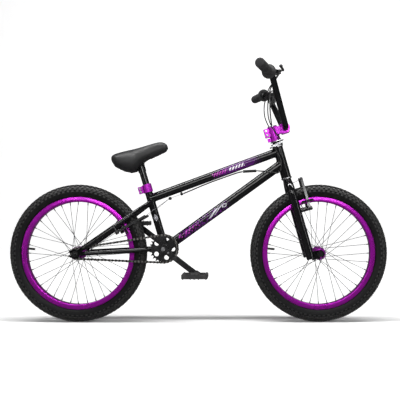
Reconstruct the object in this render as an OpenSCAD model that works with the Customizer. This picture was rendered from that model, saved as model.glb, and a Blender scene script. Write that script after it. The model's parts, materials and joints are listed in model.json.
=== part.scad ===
// Freestyle BMX bicycle with 20 inch wheels, rim brakes and a rotor that lets the bars spin.
// +X is forward, +Y is the rider's left, +Z is up. The origin is on the ground, midway
// between the axles. The chain runs on the rider's right, at negative Y.

/* [Layout] */
// Distance between the two axles
wheelbase = 892; // [740:1:1080]
// Angle of the steering axis above the ground
head_angle = 74.1; // [72:0.1:76]
// Angle of the seat tube above the ground
seat_angle = 73.4; // [70:0.1:76]
// Height of the bottom bracket above the axles
bb_rise = 18; // [5:1:30]
// How far the front axle sits ahead of the steering axis
rake = 38; // [30:1:46]
// Room kept between the rear tyre and the bottom bracket's axis
tyre_to_bb = 67; // [62:1:90]

/* [Wheels] */
// Diameter of the rim where the tyre's bead sits
bead_d = 406; // [340:1:490]
// Height of the mounted tyre above the bead seat
tyre_h = 52; // [44:1:56]
// Width of the mounted tyre
tyre_w = 54; // [46:1:56]
// Thickness of the tyre's casing
casing = 3.2; // [2.5:0.1:4]
// Width of the rim across its flanges
rim_w = 32; // [28:1:34]
// Depth of the rim from its flange to its spoke bed
rim_depth = 19; // [17:1:21]
// Spokes in one wheel
spokes = 36; // [28:4:36]
// Diameter of a spoke
spoke_d = 1.8; // [1.6:0.1:2]
// Diameter of the circle of spoke holes in a hub flange
flange_pcd = 40; // [36:1:48]
// Length of the valve stem below the spoke bed
valve_len = 26; // [20:1:34]

/* [Hubs] */
// Diameter of an axle
axle_d = 9.5; // [9.5:0.5:10]
// Distance between the front dropouts
front_old = 100; // [96:1:104]
// Distance between the rear dropouts
rear_old = 110; // [108:1:116]
// Length of axle that stands out past a nut
axle_end = 8; // [5:1:12]

/* [Frame tubes] */
// Length of the head tube
head_len = 118; // [98:1:142]
// Outer diameter of the head tube
head_d = 37; // [36:0.5:40]
// Outer diameter of the top tube
top_d = 32; // [28:0.5:34]
// Outer diameter of the down tube
down_d = 35; // [30:0.5:37]
// Outer diameter of the seat tube
seat_tube_d = 28.6; // [28.6:0.1:30]
// Outer diameter of a seat stay or chain stay
stay_d = 18; // [15:0.5:19]
// Wall of every frame tube
wall = 1.4; // [1.2:0.1:1.6]
// Length of the seat tube above the bottom bracket
seat_tube_len = 243; // [225:1:292]
// Where the top tube meets the seat tube, up from the bottom bracket
top_tube_at = 192; // [185:1:200]
// Outer diameter of the bottom bracket shell
shell_d = 46; // [44:0.5:48]
// Width of the bottom bracket shell
shell_w = 73; // [68:1:74]
// Thickness of a dropout plate
plate_t = 6; // [5:0.5:7]

/* [Fork and bars] */
// Room between the tyre and the crown race
crown_gap = 41; // [38:1:60]
// Outer diameter of a fork leg
leg_d = 30; // [27:0.5:32]
// Half the distance between the fork legs
leg_y = 60; // [58:1:64]
// Outer diameter of the steerer
steerer_d = 28.6; // [28.6:0.1:28.6]
// Distance from the steering axis to the bar clamp
reach = 45; // [45:1:54]
// Height of the stem
stem_h = 36; // [36:1:43]
// Rise of the handlebar along the steering axis
bar_rise = 172; // [143:1:207]
// Angle that the handlebar leans back from the steering axis
bar_lean = 3.5; // [0:0.5:8]
// Half the handlebar's width
bar_half = 348; // [330:1:400]
// Angle that the grips sweep back
back_sweep = 16; // [8:1:18]
// Outer diameter of the handlebar
bar_d = 22.2; // [22.2:0.1:22.2]
// Length of a grip
grip_len = 128; // [107:1:132]
// Outer diameter of a grip
grip_d = 34; // [30:0.5:36]

/* [Seat] */
// Outer diameter of the seat post
post_d = 25.4; // [25:0.1:25.4]
// Height of the saddle's tilt axis along the seat tube
saddle_at = 330; // [325:1:345]
// Upward tilt of the saddle's nose
saddle_tilt = 15.7; // [5:0.1:20]
// Length of seat post in all
post_len = 190; // [160:1:228]

/* [Drivetrain] */
// Teeth on the chainring
ring_teeth = 25; // [25:1:28]
// Teeth on the rear driver
driver_teeth = 9; // [9:1:11]
// Distance from the middle of the bike to the chain
chain_line = 42; // [42:0.5:43]
// Length of a crank arm between its centres
crank_len = 150; // [125:1:175]
// Angle of the right crank arm below the horizontal, pointing forward
crank_angle = 37; // [0:1:90]
// Diameter of the crank spindle
spindle_d = 19; // [19:0.5:22]
// Length and width of a pedal
pedal_w = 90; // [80:1:100]

/* [Brakes] */
// Distance from a brake pivot up to its pad
pad_rise = 28; // [26:1:32]
// Length of a brake arm above its pivot
arm_len = 112; // [104:1:116]
// Half the distance between the two pivots of a brake
pivot_y = 52; // [51:1:54]
// Gap between a pad and the rim when the brake is off
pad_gap = 3.4; // [3:0.1:4.5]
// Angle of the rear brake above the horizontal
rear_brake_angle = 30; // [29:0.5:31]
// Travel of the rotor along the steering axis
rotor_travel = 6.5; // [5:0.5:8]

/* [Hidden] */
$fn = 48;

// Clearances
eps = 0.01;          // overlap between pieces of one solid
seat_gap = 0.02;     // between two pieces that are pressed or bolted together
run_gap = 0.05;      // radial clearance of a running fit
free_gap = 0.3;      // between pieces that move past each other
elbow_step = 0.03;   // how far a straight length laps over the elbow it joins

// Colours
frame_black = [0.03, 0.03, 0.035];
soft_black = [0.06, 0.06, 0.06];
violet = [0.36, 0.03, 0.45];
steel = [0.62, 0.62, 0.64];

// Wheel levels, measured from an axle
wheel_r = bead_d / 2 + tyre_h;
flange_r = bead_d / 2 + 6;
bed_r = flange_r - rim_depth;
track_r = flange_r - 10.5;
section_r = wheel_r - tyre_w / 2;
flange_t = 2.4;
tube_r = min(tyre_w / 2 - casing, norm([section_r - flange_r, rim_w / 2 - flange_t])) - free_gap;

// Frame points
rear_at = [-wheelbase / 2, 0, wheel_r];
front_at = [wheelbase / 2, 0, wheel_r];
steer_up = [-cos(head_angle), 0, sin(head_angle)];
steer_fwd = [sin(head_angle), 0, cos(head_angle)];
steer_foot = front_at - rake * steer_fwd;
seat_up = [-cos(seat_angle), 0, sin(seat_angle)];

// The chain sets the rear centre: a whole even number of links, just longer than asked for
pitch = 12.7;
ring_r = pitch / 2 / sin(180 / ring_teeth);
driver_r = pitch / 2 / sin(180 / driver_teeth);
function wrap(c) = asin((ring_r - driver_r) / c);
function links_for(c) = 2 * sqrt(pow(c, 2) - pow(ring_r - driver_r, 2)) / pitch
    + (180 + 2 * wrap(c)) * ring_teeth / 360 + (180 - 2 * wrap(c)) * driver_teeth / 360;
links = 2 * round(links_for(wheel_r + tyre_to_bb) / 2);
function centre_for(n, low, high, turn = 30) = turn == 0 ? (low + high) / 2 :
    links_for((low + high) / 2) > n ? centre_for(n, low, (low + high) / 2, turn - 1)
    : centre_for(n, (low + high) / 2, high, turn - 1);
rear_centre = centre_for(links, wheel_r, 2 * wheel_r);
bb_at = rear_at + [sqrt(pow(rear_centre, 2) - pow(bb_rise, 2)), 0, bb_rise];
chain_slope = asin(bb_rise / rear_centre);

// Levels along the steering axis, from the foot of the axle's perpendicular
race_h = 2;
cup_h = 4;
cup_in = 12;
crown_s = wheel_r + crown_gap;
head_s = crown_s + race_h + free_gap + cup_h;
head_top_s = head_s + head_len;
rotor_plate_t = 2.5;
rotor_ring_t = 3.2;
lower_plate_s = head_top_s + cup_h;
lower_ring_s = lower_plate_s + rotor_plate_t + free_gap;
upper_ring_s = lower_ring_s + rotor_ring_t + free_gap;
upper_plate_s = upper_ring_s + rotor_ring_t + rotor_travel + free_gap;
clamp_ring_h = 19;
clamp_ring_s = upper_plate_s + rotor_plate_t;
stem_s = clamp_ring_s + clamp_ring_h;
stem_mid_s = stem_s + stem_h / 2;
steerer_top_s = stem_s + stem_h - 3;

function on_steer(x, s) = steer_foot + x * steer_fwd + s * steer_up;
function unit(v) = v / norm(v);

// Runs a child's Z axis from p to q
module along(p, q) {
    d = q - p;
    translate(p) rotate([0, acos(d.z / norm(d)), atan2(d.y, d.x)]) children();
}
module rod(p, q, r) along(p, q) cylinder(h = norm(q - p), r = r);
module ring(h, outer, inner) difference() {
    cylinder(h = h, r = outer);
    translate([0, 0, -1]) cylinder(h = h + 2, r = inner);
}
module both_sides() {
    children();
    mirror([0, 1, 0]) children();
}
// Turns a child's Z axis to the rider's left
module across() rotate([-90, 0, 0]) children();
module on_steerer() translate(steer_foot) rotate([0, head_angle - 90, 0]) children();
module on_seat_tube() translate(bb_at) rotate([0, seat_angle - 90, 0]) children();
// Z points away from the rear axle along the rear brake arms, X away from the seat stays
module on_rear_brake() translate(rear_at) rotate([0, 90 - rear_brake_angle, 0]) children();
module on_front_brake() on_steerer() translate([rake, 0, 0]) children();

// A bent bar through corner points: straight lengths joined by round elbows
function turn_at(p, i) = acos(unit(p[i] - p[i - 1]) * unit(p[i + 1] - p[i]));
function trim_at(p, i, bend) = i == 0 || i == len(p) - 1 ? 0 : bend * tan(turn_at(p, i) / 2);
module elbow(p, i, bend, r) {
    into = unit(p[i] - p[i - 1]);
    out = unit(p[i + 1] - p[i]);
    turn = turn_at(p, i);
    centre = p[i] + unit(out - into) * bend / cos(turn / 2);
    u = unit(p[i] - into * trim_at(p, i, bend) - centre);
    w = unit(cross(into, out));
    multmatrix([[u.x, into.x, w.x, centre.x], [u.y, into.y, w.y, centre.y],
        [u.z, into.z, w.z, centre.z], [0, 0, 0, 1]])
        rotate_extrude(angle = turn) translate([bend, 0]) circle(r = r - elbow_step);
}
module bent_bar(p, r, bend) {
    for (i = [0:len(p) - 2]) {
        way = unit(p[i + 1] - p[i]);
        from = max(trim_at(p, i, bend) - elbow_step, 0);
        to = max(trim_at(p, i + 1, bend) - elbow_step, 0);
        rod(p[i] + way * from, p[i + 1] - way * to, r);
    }
    for (i = [1:len(p) - 2]) elbow(p, i, bend, r);
}

// A cable swept through hand-set points
function heading(p, i) = unit(p[min(i + 1, len(p) - 1)] - p[max(i - 1, 0)]);
module cable(p, r, side = [0, 1, 0]) {
    n = 8;
    last = len(p) - 1;
    rings = [for (i = [0:last]) let (t = heading(p, i), a = unit(cross(t, side)), b = cross(t, a))
        for (k = [0:n - 1]) p[i] + r * (cos(k * 360 / n) * a + sin(k * 360 / n) * b)];
    skin = [for (i = [0:last - 1], k = [0:n - 1])
        [i * n + k, (i + 1) * n + k, (i + 1) * n + (k + 1) % n, i * n + (k + 1) % n]];
    polyhedron(rings, concat(skin, [[for (k = [0:n - 1]) k],
        [for (k = [0:n - 1]) last * n + n - 1 - k]]));
}

// ---- Frame ----
down_tube_s = head_s + 55;
top_tube_s = head_top_s - 17;
top_start = bb_at + seat_up * top_tube_at;
top_end = on_steer(0, top_tube_s);
down_end = on_steer(0, down_tube_s);

module head_tube_body(r) on_steerer() translate([0, 0, head_s]) cylinder(h = head_len, r = r);
module head_tube() color(frame_black) on_steerer() translate([0, 0, head_s])
    ring(head_len, head_d / 2, head_d / 2 - 1.5);
module seat_tube_body() rod(bb_at, bb_at + seat_up * seat_tube_len, seat_tube_d / 2);
module shell_body() translate(bb_at) across()
    cylinder(h = shell_w, r = shell_d / 2, center = true);
module pipe(p, q, r) difference() {
    rod(p, q, r);
    rod(p, q, r - wall);
}
module top_tube() color(frame_black) difference() {
    pipe(top_start, top_end, top_d / 2);
    seat_tube_body();
    head_tube_body(head_d / 2);
}
module down_tube() color(frame_black) difference() {
    pipe(bb_at, down_end, down_d / 2);
    shell_body();
    head_tube_body(head_d / 2);
    seat_tube_body();
    rod(top_start, top_end, top_d / 2);
}
module seat_tube() color(frame_black) difference() {
    seat_tube_body();
    rod(bb_at, bb_at + seat_up * (seat_tube_len + 1), post_d / 2 + run_gap);
    shell_body();
}
shell_bore = 18.5;
module bottom_bracket_shell() color(frame_black) translate(bb_at) across()
    translate([0, 0, -shell_w / 2]) ring(shell_w, shell_d / 2, shell_bore);

// Stays: they stand clear of the chain at the dropouts, pass the tyre and then close in
stay_y = rear_old / 2 + 4;
seat_stay_top_at = 179;
seat_stay_way = unit(bb_at + seat_up * seat_stay_top_at - rear_at);
chain_stay_way = unit(bb_at - rear_at);
stay_start = 36;
function stay_point(way, run, y) = rear_at + way * run + [0, y, 0];
seat_stay_len = norm(bb_at + seat_up * seat_stay_top_at - rear_at);
seat_stay_path = [stay_point(seat_stay_way, stay_start, stay_y),
    stay_point(seat_stay_way, wheel_r - 10, tyre_w / 2 + stay_d / 2 + 7),
    stay_point(seat_stay_way, seat_stay_len, 6)];
chain_stay_path = [stay_point(chain_stay_way, stay_start, stay_y),
    stay_point(chain_stay_way, wheel_r - 24, tyre_w / 2 + stay_d / 2 + 4.5),
    stay_point(chain_stay_way, rear_centre - 15, 16)];
stay_bend = 70;
module hollow_stay(path, r) difference() {
    bent_bar(path, r, stay_bend);
    bent_bar(path, r - wall, stay_bend);
}
bridge_run = wheel_r + 8;
module seat_stays() color(frame_black) difference() {
    union() {
        both_sides() hollow_stay(seat_stay_path, stay_d / 2);
        difference() {
            translate(rear_at + seat_stay_way * bridge_run) across()
                cylinder(h = 2 * (tyre_w / 2 + stay_d / 2), r = 6, center = true);
            both_sides() bent_bar(seat_stay_path, stay_d / 2 - wall / 2, stay_bend);
        }
    }
    seat_tube_body();
    rod(top_start, top_end, top_d / 2);
    // where the two stays close in they are mitred against each other
    translate(rear_at) cube([3 * wheel_r, 0.6, 4 * wheel_r], center = true);
}
chain_bridge_run = wheel_r + 12;
module chain_stays() color(frame_black) difference() {
    union() {
        both_sides() hollow_stay(chain_stay_path, stay_d / 2 - 0.5);
        difference() {
            translate(rear_at + chain_stay_way * chain_bridge_run) across()
                cylinder(h = tyre_w, r = 6, center = true);
            both_sides() bent_bar(chain_stay_path, stay_d / 2 - 0.5 - wall / 2, stay_bend);
        }
    }
    shell_body();
}

// One dropout: a plate with a slot, closed onto both stays
slot_len = 11;
slot_end_r = 14;
plate_step = 0.2;
module rear_dropout() difference() {
    union() {
        translate(rear_at + [0, rear_old / 2, 0]) across() {
            cylinder(h = plate_t, r = 17);
            translate([-slot_len, 0, 0]) cylinder(h = plate_t, r = slot_end_r);
            translate([-slot_len, -slot_end_r, 0]) cube([slot_len, 2 * slot_end_r, plate_t]);
        }
        for (i = [0, 1]) {
            way = [seat_stay_way, chain_stay_way][i];
            step = plate_step * (i + 1);
            translate(rear_at + [0, rear_old / 2, 0]) rotate([0, -atan2(way.z, way.x), 0])
                translate([0, step, -7]) cube([stay_start + 14, plate_t - 2 * step, 14]);
        }
    }
    translate(rear_at + [0, rear_old / 2, 0]) across() {
        translate([0, 0, -1]) cylinder(h = plate_t + 2, r = axle_d / 2 + seat_gap + elbow_step);
        translate([-slot_len - slot_end_r - 1, -axle_d / 2 - seat_gap, -1])
            cube([slot_len + slot_end_r + 1, axle_d + 2 * seat_gap, plate_t + 2]);
    }
    for (path = [seat_stay_path, chain_stay_path]) bent_bar(path, stay_d / 2 + seat_gap, stay_bend);
}
module rear_dropouts() color(frame_black) both_sides() rear_dropout();

// Brake pivots on the seat stays and the cable stop below the top tube
boss_z = track_r - pad_rise;
rear_arm_x = 2;
arm_t = 9;
stud_r = 4;
top_way = unit(top_end - top_start);
top_down = [top_way.z, 0, -top_way.x];
stop_run = 115;
stop_at = top_start + top_way * stop_run + top_down * (top_d / 2 + 8);
module rear_boss() difference() {
    on_rear_brake() translate([0, pivot_y, boss_z]) rotate([0, 90, 0]) {
        translate([0, 0, -16]) cylinder(h = 16 + rear_arm_x - free_gap, r = 7);
        translate([0, 0, -16]) cylinder(h = 16 + rear_arm_x + arm_t, r = stud_r);
    }
    bent_bar(seat_stay_path, stay_d / 2, stay_bend);
}
module rear_brake_fittings() color(frame_black) {
    both_sides() rear_boss();
    difference() {
        union() {
            rod(stop_at - top_way * 5, stop_at + top_way * 5, 4.5);
            rod(stop_at, stop_at - top_down * 9, 3);
        }
        rod(stop_at - top_way * 6, stop_at + top_way * 6, 1.5);
        rod(top_start, top_end, top_d / 2);
    }
}

module headset_cup() {
    difference() {
        union() {
            cylinder(h = cup_h, r = head_d / 2 + 2);
            translate([0, 0, cup_h]) cylinder(h = cup_in, r = head_d / 2 - 1.5 - seat_gap);
        }
        translate([0, 0, -1]) cylinder(h = cup_h + cup_in + 2, r = 16.2);
    }
    translate([0, 0, 1]) ring(8, 16.2 - seat_gap, steerer_d / 2 + run_gap);
}
module headset_cups() color(steel) on_steerer() {
    translate([0, 0, head_s - cup_h]) headset_cup();
    translate([0, 0, head_top_s + cup_h]) mirror([0, 0, 1]) headset_cup();
}
module bottom_bracket_bearings() color(steel) translate(bb_at) across() {
    for (m = [0, 1]) mirror([0, 0, m]) translate([0, 0, shell_w / 2 - 11])
        ring(9, shell_bore - seat_gap, spindle_d / 2 + run_gap);
    translate([0, 0, -shell_w / 2 + 11 + seat_gap])
        ring(shell_w - 22 - 2 * seat_gap, spindle_d / 2 + 1.6, spindle_d / 2 + run_gap);
}

// ---- Seat ----
clamp_h = 30;
clamp_s = seat_tube_len - clamp_h + 4;
module seat_clamp() color(violet) on_seat_tube() difference() {
    union() {
        translate([0, 0, clamp_s]) cylinder(h = clamp_h, r = seat_tube_d / 2 + 3.5);
        translate([-34, -8, clamp_s + 2]) cube([22, 16, clamp_h - 4]);
    }
    translate([0, 0, clamp_s - 1]) cylinder(h = seat_tube_len - clamp_s + 1, r = seat_tube_d / 2 + seat_gap);
    cylinder(h = seat_tube_len + clamp_h, r = post_d / 2 + run_gap);
    translate([-40, -1, clamp_s - 1]) cube([40, 2, clamp_h + 2]);
    for (z = [9, 21]) translate([-26, -20, clamp_s + z]) across()
        cylinder(h = 40, r = 2.5 + seat_gap);
}
module seat_clamp_bolts() color(steel) on_seat_tube() for (z = [9, 21])
    translate([-26, 0, clamp_s + z]) across() {
        translate([0, 0, -10]) cylinder(h = 20, r = 2.5);
        translate([0, 0, -12.5 + eps]) cylinder(h = 4.5, r = 4);
        translate([0, 0, 8]) cylinder(h = 4, r = 4, $fn = 6);
    }
drum_r = 15;
drum_w = 32;
bolt_r = 4;
module at_saddle() on_seat_tube() translate([0, 0, saddle_at])
    rotate([0, 90 - seat_angle - saddle_tilt, 0]) children();
module seat_post() color(frame_black) difference() {
    union() {
        on_seat_tube() translate([0, 0, saddle_at - post_len]) cylinder(h = post_len, r = post_d / 2);
        on_seat_tube() translate([0, 0, saddle_at - 34]) cylinder(h = 30, r = post_d / 2 + 2);
        at_saddle() across() cylinder(h = drum_w, r = drum_r, center = true);
    }
    on_seat_tube() translate([0, 0, saddle_at - post_len - 1])
        cylinder(h = post_len - 32, r = post_d / 2 - 2.2);
    // slot that lets the bolt swing as the saddle tilts
    at_saddle() translate([-9, -bolt_r - free_gap, -27]) cube([18, 2 * (bolt_r + free_gap), 60]);
}
base_z = 17;
module saddle_base() color(soft_black) at_saddle() difference() {
    union() {
        translate([0, 0, base_z]) linear_extrude(4) polygon([[-78, -38], [-86, -20], [-88, 0],
            [-86, 20], [-78, 38], [-40, 40], [20, 16], [95, 9], [98, 0], [95, -9], [20, -16], [-40, -40]]);
        translate([-20, -15, 2]) cube([40, 30, base_z - 1]);
    }
    across() cylinder(h = 60, r = drum_r + free_gap, center = true);
    cylinder(h = 60, r = bolt_r + seat_gap);
}
// The cushion: a pear-shaped pad with two skirts that hang beside the post
module saddle_cover() color(soft_black) at_saddle() difference() {
    union() {
        hull() for (p = [[-62, 44, 22], [-62, -44, 22], [-30, 38, 24], [-30, -38, 24], [92, 8, 20],
            [92, -8, 20]]) translate([p.x, p.y, 55.6 - p.z]) sphere(r = p.z, $fn = 28);
        for (m = [1, -1]) hull() {
            translate([-66, m * 46, 34]) sphere(r = 19, $fn = 28);
            translate([-30, m * 43, -14]) sphere(r = 18, $fn = 28);
            translate([22, m * 20, 22]) sphere(r = 14, $fn = 28);
        }
    }
    // the hollow underneath that the base and the post fill
    translate([0, 0, -50]) linear_extrude(base_z + 54 + free_gap) polygon([[-79, -39], [-87, -21],
        [-89, 0], [-87, 21], [-79, 39], [-40, 41], [20, 17], [96, 10], [99, 0], [96, -10],
        [20, -17], [-40, -41]]);
    translate([0, 0, -1]) cylinder(h = 60, r = 1.2 * bolt_r + 4);
}
module saddle_bolt() color(steel) at_saddle() {
    translate([0, 0, base_z + 4]) cylinder(h = 7, r = 7.5);
    translate([0, 0, -14]) cylinder(h = base_z + 19, r = bolt_r);
}

// ---- Wheels ----
hub_w = 62;
module spoke(half, i, n) {
    per = 720 / n;
    lead = i % 2 == 0 ? 1 : -1;
    rim_turn = i * per;
    hub_turn = rim_turn + lead * 3 * per;
    side = sign(half);
    out = lead > 0 ? 4.4 : -2.6;
    at = [flange_pcd / 2 * cos(hub_turn), flange_pcd / 2 * sin(hub_turn), half];
    from = at + [0, 0, side * out];
    to = [(bed_r + 4) * cos(rim_turn), (bed_r + 4) * sin(rim_turn), side * 3];
    way = unit(to - from);
    rod(from, to - way * 10, spoke_d / 2);
    // the bent end that passes through the flange, and its head
    rod(from + [0, 0, side * lead * 0.6], at - [0, 0, side * lead * 1.9], spoke_d / 2);
    rod(at - [0, 0, side * lead * 1.7], at - [0, 0, side * lead * 3], 1.9);
    rod(to - way * 14, to, 1.8);
}
module spoke_set() across() for (i = [0:spokes / 2 - 1]) {
    spoke(hub_w / 2, i, spokes);
    rotate([0, 0, 360 / spokes]) spoke(-hub_w / 2, i, spokes);
}
module spoke_holes() for (i = [0:spokes - 1]) rotate([0, 0, i * 360 / spokes])
    translate([bed_r + 3, 0, i % 2 == 0 ? 3 : -3]) sphere(r = 4.6);
module valve_at() rotate([0, 0, 180 + 180 / spokes]) rotate([0, 90, 0]) children();
module rim() across() difference() {
    rotate_extrude($fn = 120) difference() {
        polygon([[bed_r, -9], [bed_r, 9], [bed_r + 7, rim_w / 2], [flange_r, rim_w / 2],
            [flange_r, rim_w / 2 - flange_t], [flange_r - 6.2, rim_w / 2 - flange_t],
            [flange_r - 6.2, rim_w / 2 - 6], [flange_r - 9, rim_w / 2 - 7],
            [flange_r - 9, -rim_w / 2 + 7], [flange_r - 6.2, -rim_w / 2 + 6],
            [flange_r - 6.2, -rim_w / 2 + flange_t], [flange_r, -rim_w / 2 + flange_t],
            [flange_r, -rim_w / 2], [bed_r + 7, -rim_w / 2]]);
        polygon([[bed_r + 2, -7], [bed_r + 2, 7], [bed_r + 7, rim_w / 2 - 4],
            [bed_r + 7, -rim_w / 2 + 4]]);
    }
    spoke_holes();
    valve_at() cylinder(h = flange_r, r = 4.4);
}
// The space inside the tyre and between its beads, drawn smaller by an inset all round
bead_depth = 5.8;
module tyre_hollow(inset) {
    intersection() {
        translate([section_r, 0]) circle(r = tube_r + free_gap - inset);
        translate([flange_r + 3 + inset, -tyre_w]) square([2 * tyre_w, 2 * tyre_w]);
    }
    half = rim_w / 2 - 6.7 - inset;
    translate([flange_r - bead_depth - free_gap + inset, -half])
        square([bead_depth + free_gap + 6 - inset, 2 * half]);
}
module tyre() across() rotate_extrude($fn = 120) difference() {
    union() {
        intersection() {
            translate([section_r, 0]) circle(r = tyre_w / 2);
            translate([flange_r + 0.4, -tyre_w]) square([2 * tyre_w, 2 * tyre_w]);
        }
        for (m = [-1, 1]) translate([flange_r - bead_depth, m * (rim_w / 2 - 4.6) - 2])
            square([bead_depth + 4.2, 4]);
    }
    tyre_hollow(0);
}
tube_skin = 1.2;
module inner_tube() across() difference() {
    union() {
        rotate_extrude($fn = 120) tyre_hollow(free_gap);
        valve_at() translate([0, 0, bed_r - valve_len])
            cylinder(h = flange_r - bead_depth + tube_skin / 2 - bed_r + valve_len, r = 4);
    }
    rotate_extrude($fn = 120) tyre_hollow(free_gap + tube_skin);
}
// A hub shell with its two cartridge bearings
module hub(shell_half, bearing_r) across() {
    difference() {
        union() {
            cylinder(h = 2 * shell_half, r = bearing_r + 1.5, center = true);
            for (m = [-1, 1]) translate([0, 0, m * hub_w / 2])
                cylinder(h = 3, r = flange_pcd / 2 + 3.5, center = true);
            for (m = [0, 1]) mirror([0, 0, m]) translate([0, 0, hub_w / 2 + 1.5 - eps])
                cylinder(h = min(5, shell_half - hub_w / 2 - 1.5), r1 = flange_pcd / 2 - 3, r2 = bearing_r + 1.5);
        }
        cylinder(h = 2 * shell_half + 2, r = bearing_r - 2.5, center = true);
        for (m = [0, 1]) mirror([0, 0, m]) translate([0, 0, shell_half - 8])
            cylinder(h = 9, r = bearing_r);
        for (m = [-1, 1]) for (i = [0:spokes / 2 - 1]) rotate([0, 0, (i + (m < 0 ? 0.5 : 0)) * 720 / spokes])
            translate([flange_pcd / 2, 0, m * hub_w / 2]) cylinder(h = 5, r = 1.4, center = true);
    }
    for (m = [0, 1]) mirror([0, 0, m]) translate([0, 0, shell_half - 8 + seat_gap])
        ring(7, bearing_r - seat_gap, axle_d / 2 + run_gap);
}
nut_h = 9;
// A spindle with cone spacers inside the dropouts and flanged nuts outside them
module axle(old, left_cone, right_cone) across() {
    end = old / 2 + plate_t + seat_gap + nut_h + axle_end;
    cylinder(h = 2 * end, r = axle_d / 2, center = true);
    for (side = [1, -1]) mirror([0, 0, side < 0 ? 1 : 0]) {
        translate([0, 0, old / 2 + plate_t + seat_gap]) {
            cylinder(h = 2, r = 11);
            cylinder(h = nut_h, r = 8.7, $fn = 6);
        }
    }
    translate([0, 0, left_cone]) cylinder(h = old / 2 - left_cone - seat_gap, r = 7.5);
    translate([0, 0, -old / 2 + seat_gap]) cylinder(h = old / 2 - right_cone - seat_gap, r = 7.5);
}
front_hub_half = 44;
rear_hub_half = 36;
module rear_axle() color(steel) translate(rear_at)
    axle(rear_old, rear_hub_half + free_gap, chain_line + 6.5 + free_gap);
module front_axle() color(steel) translate(front_at)
    axle(front_old, front_hub_half + free_gap, front_hub_half + free_gap);
module rear_hub() color(violet) translate(rear_at) hub(rear_hub_half, 15);
module rear_spokes() color(steel) translate(rear_at) spoke_set();
module rear_rim() color(violet) translate(rear_at) rim();
module rear_inner_tube() color(soft_black) translate(rear_at) inner_tube();
module rear_tyre() color(soft_black) translate(rear_at) tyre();
module front_hub() color(violet) translate(front_at) hub(front_hub_half, 12);
module front_spokes() color(steel) translate(front_at) spoke_set();
module front_rim() color(violet) translate(front_at) rim();
module front_inner_tube() color(soft_black) translate(front_at) inner_tube();
module front_tyre() color(soft_black) translate(front_at) tyre();

// ---- Drivetrain ----
roller_r = 3.9;
tooth_t = 2.6;
// Toothed disc in the XY plane, with a roller seat on +X
module sprocket(teeth, r) difference() {
    union() {
        cylinder(h = tooth_t, r = r - roller_r + 0.6, center = true);
        for (i = [0:teeth - 1]) rotate([0, 0, (i + 0.5) * 360 / teeth])
            linear_extrude(tooth_t, center = true) polygon([[r - roller_r - 2, -4.6], [r, -2.1],
                [r + 3.4, -0.9], [r + 3.4, 0.9], [r, 2.1], [r - roller_r - 2, 4.6]]);
    }
    for (i = [0:teeth - 1]) rotate([0, 0, i * 360 / teeth]) translate([r, 0, 0])
        cylinder(h = tooth_t + 2, r = roller_r + free_gap, center = true);
}
// The chain's path, one link per unit. It starts at the chainring's upper tangent point and
// runs back over the driver. Angles are from the line between the two centres.
tilt = wrap(rear_centre);
span = sqrt(pow(rear_centre, 2) - pow(ring_r - driver_r, 2)) / pitch;
driver_wrap = (180 - 2 * tilt) * driver_teeth / 360;
ring_turn = 360 / ring_teeth;
driver_turn = 360 / driver_teeth;
function polar(r, a) = [r * cos(a), r * sin(a)];
function chain_point(u) = u < span ? polar(ring_r, 90 + tilt) + u * pitch * polar(1, 180 + tilt)
    : u < span + driver_wrap ?
        [-rear_centre, 0] + polar(driver_r, 90 + tilt + (u - span) * driver_turn)
    : u < 2 * span + driver_wrap ?
        [-rear_centre, 0] + polar(driver_r, 270 - tilt) + (u - span - driver_wrap) * pitch * polar(1, -tilt)
    : polar(ring_r, 270 - tilt + (u - 2 * span - driver_wrap) * ring_turn);
module in_chain_plane() translate(bb_at - [0, chain_line, 0])
    rotate([90, 0, 0]) rotate([0, 0, chain_slope]) children();
link_t = 1.04;
module link_plate(p, q, z, r) translate([p.x, p.y, z]) rotate([0, 0, atan2(q.y - p.y, q.x - p.x)]) {
    cylinder(h = link_t, r = r, $fn = 20);
    translate([norm(q - p), 0, 0]) cylinder(h = link_t, r = r, $fn = 20);
    translate([0, 1 - r, 0]) cube([norm(q - p), 2 * r - 2, link_t]);
}
inner_plate_z = 1.8;
module chain() color(steel) in_chain_plane() for (i = [0:links - 1]) {
    p = chain_point(i);
    q = chain_point((i + 1) % links);
    z = inner_plate_z + (i % 2 == 0 ? 0 : 1);
    r = i % 2 == 0 ? 4.1 : 4.3;
    link_plate(p, q, z, r);
    link_plate(p, q, -z - link_t, r);
    translate([p.x, p.y, -inner_plate_z - 0.5]) cylinder(h = 2 * inner_plate_z + 1, r = roller_r, $fn = 20);
}
driver_seat = 90 + tilt + (ceil(span) - span) * driver_turn;
module driver() color(steel) translate(rear_at) difference() {
    union() {
        translate([0, -chain_line, 0]) rotate([90, 0, 0]) rotate([0, 0, chain_slope + driver_seat])
            sprocket(driver_teeth, driver_r);
        translate([0, -chain_line - 6, 0]) across()
            cylinder(h = 6 + chain_line - rear_hub_half - free_gap, r = 12.4);
    }
    across() cylinder(h = 4 * rear_old, r = axle_d / 2 + run_gap, center = true);
}
ring_bolt_x = 23;
ring_bolt_r = 3.5;
module at_crank() translate(bb_at) rotate([0, crank_angle, 0]) children();
arm_y = 50;
arm_w = 14;
arm_out = 12;
pedal_y = arm_y + arm_w + arm_out;
module crank_spindle() color(steel) translate(bb_at) across()
    cylinder(h = 2 * (arm_y + arm_w - 2), r = spindle_d / 2, center = true);
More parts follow.
